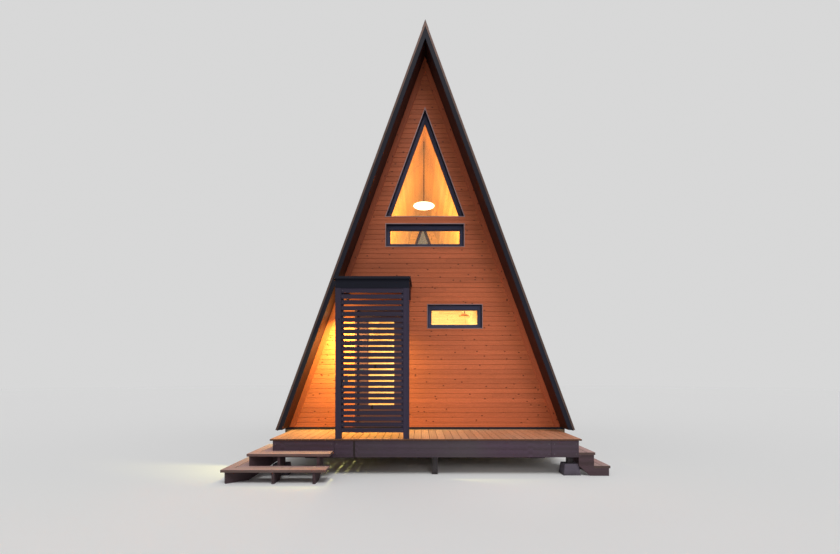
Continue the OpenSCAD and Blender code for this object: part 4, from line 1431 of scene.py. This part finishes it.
def light_world(stage):
    """Light from all round. The camera sees a brighter backdrop, also through glass and in
    reflections."""
    world = bpy.data.worlds.new("Studio")
    bpy.context.scene.world = world
    world.use_nodes = True
    nodes, links = world.node_tree.nodes, world.node_tree.links
    rays = nodes.new("ShaderNodeLightPath").outputs
    seen = rays["Is Camera Ray"]
    for ray in ("Is Transmission Ray", "Is Glossy Ray"):
        either = nodes.new("ShaderNodeMath")
        either.operation = "MAXIMUM"
        links.new(seen, either.inputs[0])
        links.new(rays[ray], either.inputs[1])
        seen = either.outputs[0]
    strength = nodes.new("ShaderNodeMapRange")
    links.new(seen, strength.inputs[0])
    strength.inputs[3].default_value = stage.sky
    strength.inputs[4].default_value = stage.backdrop
    background = nodes["Background"]
    background.inputs["Color"].default_value = (1.0, 1.0, 1.0, 1.0)
    links.new(strength.outputs[0], background.inputs["Strength"])


def lay_studio_floor(stage):
    """A wide round floor, level with the ground."""
    hub, reach, thick = 0.01, 60.0, 0.02
    disk = Solids(99)
    disk.turned([(hub, -thick), (reach, -thick), (reach, 0.0), (hub, 0.0)], (0, 0, 0), UP, steps=96)
    mesh = bpy.data.meshes.new("studio_floor")
    mesh.from_pydata(disk.points, [], disk.faces)
    ground = bpy.data.objects.new("studio_floor", mesh)
    bpy.context.scene.collection.objects.link(ground)
    pale = Finish("studio_floor", base_color=stage.floor, roughness=0.9, specular_ior_level=0.1)
    mesh.materials.append(pale.material)


def light_key(stage):
    """The main light, from above the front and a little from the right."""
    sun = bpy.data.lights.new("key_light", "SUN")
    sun.energy = stage.key
    sun.angle = stage.key_size
    holder = bpy.data.objects.new("key_light", sun)
    holder.rotation_euler = (stage.key_tilt, 0, stage.key_turn)
    bpy.context.scene.collection.objects.link(holder)


def light_lamps(stage, paint):
    """The light in front, the glow of the lamps inside, and the wall light's glow on the wall."""
    white, glow, upper, porch = (1.0, 1.0, 1.0), paint.glow, paint.upper_glow, paint.porch_glow
    low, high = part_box("wall_light")
    right, rear_share, fill_share = high.x, 0.4, 0.15
    # Name, place, size, power and colour, and a disk's target and spread
    lamps = (
        ("front_light", (1.2, -8.5, 2.0), 1.6, stage.front, white, (1.1, FRONT_FACE, 1.4), 54),
        ("room_light", (0.2, 0.8, FLOOR_Z + 2.1), 1.6, stage.room, glow, (0.2, 0.8, 0)),
        (
            "rear_light", (0.4, 1.6, FLOOR_Z + 1.2), 1.4, stage.room * rear_share, glow,
            (0.4, REAR_BACK, FLOOR_Z + 2.7),
        ),
        ("loft_light", (0, -1.2, 3.4), 1.0, stage.loft, upper, (0, -0.6, 7)),
        ("ridge_light", (0, -0.8, 4.3), 0.3, stage.ridge, glow),
        (
            "porch_light", (right + 0.12, low.y - 0.47, low.z - 0.06), 0.2, stage.porch, porch,
            (right + 0.16, FRONT_FACE, 1.6), 140,
        ),
        ("porch_fill", (right + 0.1, low.y - 0.3, high.z), 0.1, stage.porch * fill_share, porch),
    )
    for lamp in lamps:
        soft_light(*lamp)


def place_camera(stage):
    """The camera stands level, where the photograph was taken from."""
    camera = bpy.data.cameras.new("Camera")
    camera.sensor_width = stage.sensor
    camera.lens = stage.sensor * stage.focal / stage.width
    camera.shift_y = (stage.horizon - stage.middle) / stage.width
    holder = bpy.data.objects.new("Camera", camera)
    holder.location = (stage.camera_x, -stage.camera_back, stage.camera_z)
    holder.rotation_euler = (math.radians(90), 0, 0)
    bpy.context.scene.collection.objects.link(holder)
    bpy.context.scene.camera = holder


def set_stage(stage, paint):
    """The studio around the cabin."""
    light_world(stage)
    lay_studio_floor(stage)
    light_key(stage)
    light_lamps(stage, paint)
    place_camera(stage)
    bpy.context.scene.view_settings.view_transform = "Standard"


# Operators


class CABIN_OT_foundation(bpy.types.Operator):
    """Finishes the pier blocks, and saws the posts and beams on them"""

    bl_idname = "cabin.foundation"
    bl_label = "Foundation"

    def execute(self, context):
        frame_foundation(context.scene.cabin_boards)
        return {"FINISHED"}


class CABIN_OT_floors(bpy.types.Operator):
    """Lays the joists and boards of the cabin's floor and of the loft"""

    bl_idname = "cabin.floors"
    bl_label = "Floors"

    def execute(self, context):
        boards = context.scene.cabin_boards
        frame_floor(boards)
        lay_main_floor(boards)
        lay_loft_floor(boards)
        return {"FINISHED"}


class CABIN_OT_deck(bpy.types.Operator):
    """Lays the deck boards, their frame and the fascia"""

    bl_idname = "cabin.deck"
    bl_label = "Deck"

    def execute(self, context):
        lay_deck(context.scene.cabin_boards)
        face_deck(context.scene.cabin_boards)
        return {"FINISHED"}


class CABIN_OT_steps(bpy.types.Operator):
    """Lays the treads of the corner steps and the side steps"""

    bl_idname = "cabin.steps"
    bl_label = "Steps"

    def execute(self, context):
        lay_steps(context.scene.cabin_boards)
        return {"FINISHED"}


class CABIN_OT_walls(bpy.types.Operator):
    """Boards the front and rear walls"""

    bl_idname = "cabin.walls"
    bl_label = "End walls"

    def execute(self, context):
        clad_walls(context.scene.cabin_boards)
        return {"FINISHED"}


class CABIN_OT_ceiling(bpy.types.Operator):
    """Lines the ceiling with boards"""

    bl_idname = "cabin.ceiling"
    bl_label = "Ceiling"

    def execute(self, context):
        line_ceiling(context.scene.cabin_boards)
        return {"FINISHED"}


class CABIN_OT_roof(bpy.types.Operator):
    """Finishes the ribbed roof sheets and adds their screws"""

    bl_idname = "cabin.roof"
    bl_label = "Roof"

    def execute(self, context):
        dress_roof()
        return {"FINISHED"}


class CABIN_OT_roof_edges(bpy.types.Operator):
    """Finishes the roof's ends and lays the trim boards below them"""

    bl_idname = "cabin.roof_edges"
    bl_label = "Roof edges"

    def execute(self, context):
        trim_roof(context.scene.cabin_boards)
        return {"FINISHED"}


class CABIN_OT_windows(bpy.types.Operator):
    """Fits the window frames, their metal edges and their glass"""

    bl_idname = "cabin.windows"
    bl_label = "Windows"

    def execute(self, context):
        fit_windows(context.scene.cabin_windows)
        return {"FINISHED"}


class CABIN_OT_door(bpy.types.Operator):
    """Finishes the door and beads its glass"""

    bl_idname = "cabin.door"
    bl_label = "Door"

    def execute(self, context):
        fit_door()
        return {"FINISHED"}


class CABIN_OT_entry(bpy.types.Operator):
    """Builds the canopy's frame and edging, and the slatted screen"""

    bl_idname = "cabin.entry"
    bl_label = "Entry screen"

    def execute(self, context):
        frame_canopy(context.scene.cabin_boards)
        edge_canopy()
        build_screen(context.scene.cabin_boards)
        return {"FINISHED"}


class CABIN_OT_lights(bpy.types.Operator):
    """Fits the wall light, the lamps that hang inside and the outlet cover"""

    bl_idname = "cabin.lights"
    bl_label = "Lights"

    def execute(self, context):
        fit_wall_light()
        hang_lamps()
        fix_outlet()
        return {"FINISHED"}


class CABIN_OT_stage(bpy.types.Operator):
    """Sets the floor, the lights and the camera"""

    bl_idname = "cabin.stage"
    bl_label = "Stage"

    def execute(self, context):
        set_stage(context.scene.cabin_stage, context.scene.cabin_colours)
        return {"FINISHED"}


OPERATORS = (
    CABIN_OT_foundation, CABIN_OT_floors, CABIN_OT_deck, CABIN_OT_steps, CABIN_OT_walls,
    CABIN_OT_ceiling, CABIN_OT_roof, CABIN_OT_roof_edges, CABIN_OT_windows, CABIN_OT_door,
    CABIN_OT_entry, CABIN_OT_lights, CABIN_OT_stage,
)


class CABIN_PT_build(bpy.types.Panel):
    """Lists the steps of the build and their sizes"""

    bl_label = "A-frame cabin"
    bl_idname = "CABIN_PT_build"
    bl_space_type = "VIEW_3D"
    bl_region_type = "UI"
    bl_category = "Cabin"

    def draw(self, context):
        for operator in OPERATORS:
            self.layout.operator(operator.bl_idname)
        for group in SETTINGS:
            settings = getattr(context.scene, group)
            box = self.layout.box()
            for name in settings.__annotations__:
                box.prop(settings, name)


SETTINGS = {
    "cabin_boards": CabinBoards,
    "cabin_windows": CabinWindows,
    "cabin_colours": CabinColours,
    "cabin_stage": CabinStage,
}


def register():
    for group, kind in SETTINGS.items():
        bpy.utils.register_class(kind)
        setattr(bpy.types.Scene, group, PointerProperty(type=kind))
    for kind in (*OPERATORS, CABIN_PT_build):
        bpy.utils.register_class(kind)


def unregister():
    for kind in reversed((*OPERATORS, CABIN_PT_build)):
        bpy.utils.unregister_class(kind)
    for group, kind in reversed(SETTINGS.items()):
        delattr(bpy.types.Scene, group)
        bpy.utils.unregister_class(kind)


def main():
    register()
    for operator in OPERATORS:
        group, name = operator.bl_idname.split(".")
        getattr(getattr(bpy.ops, group), name)()


if __name__ == "__main__":
    main()
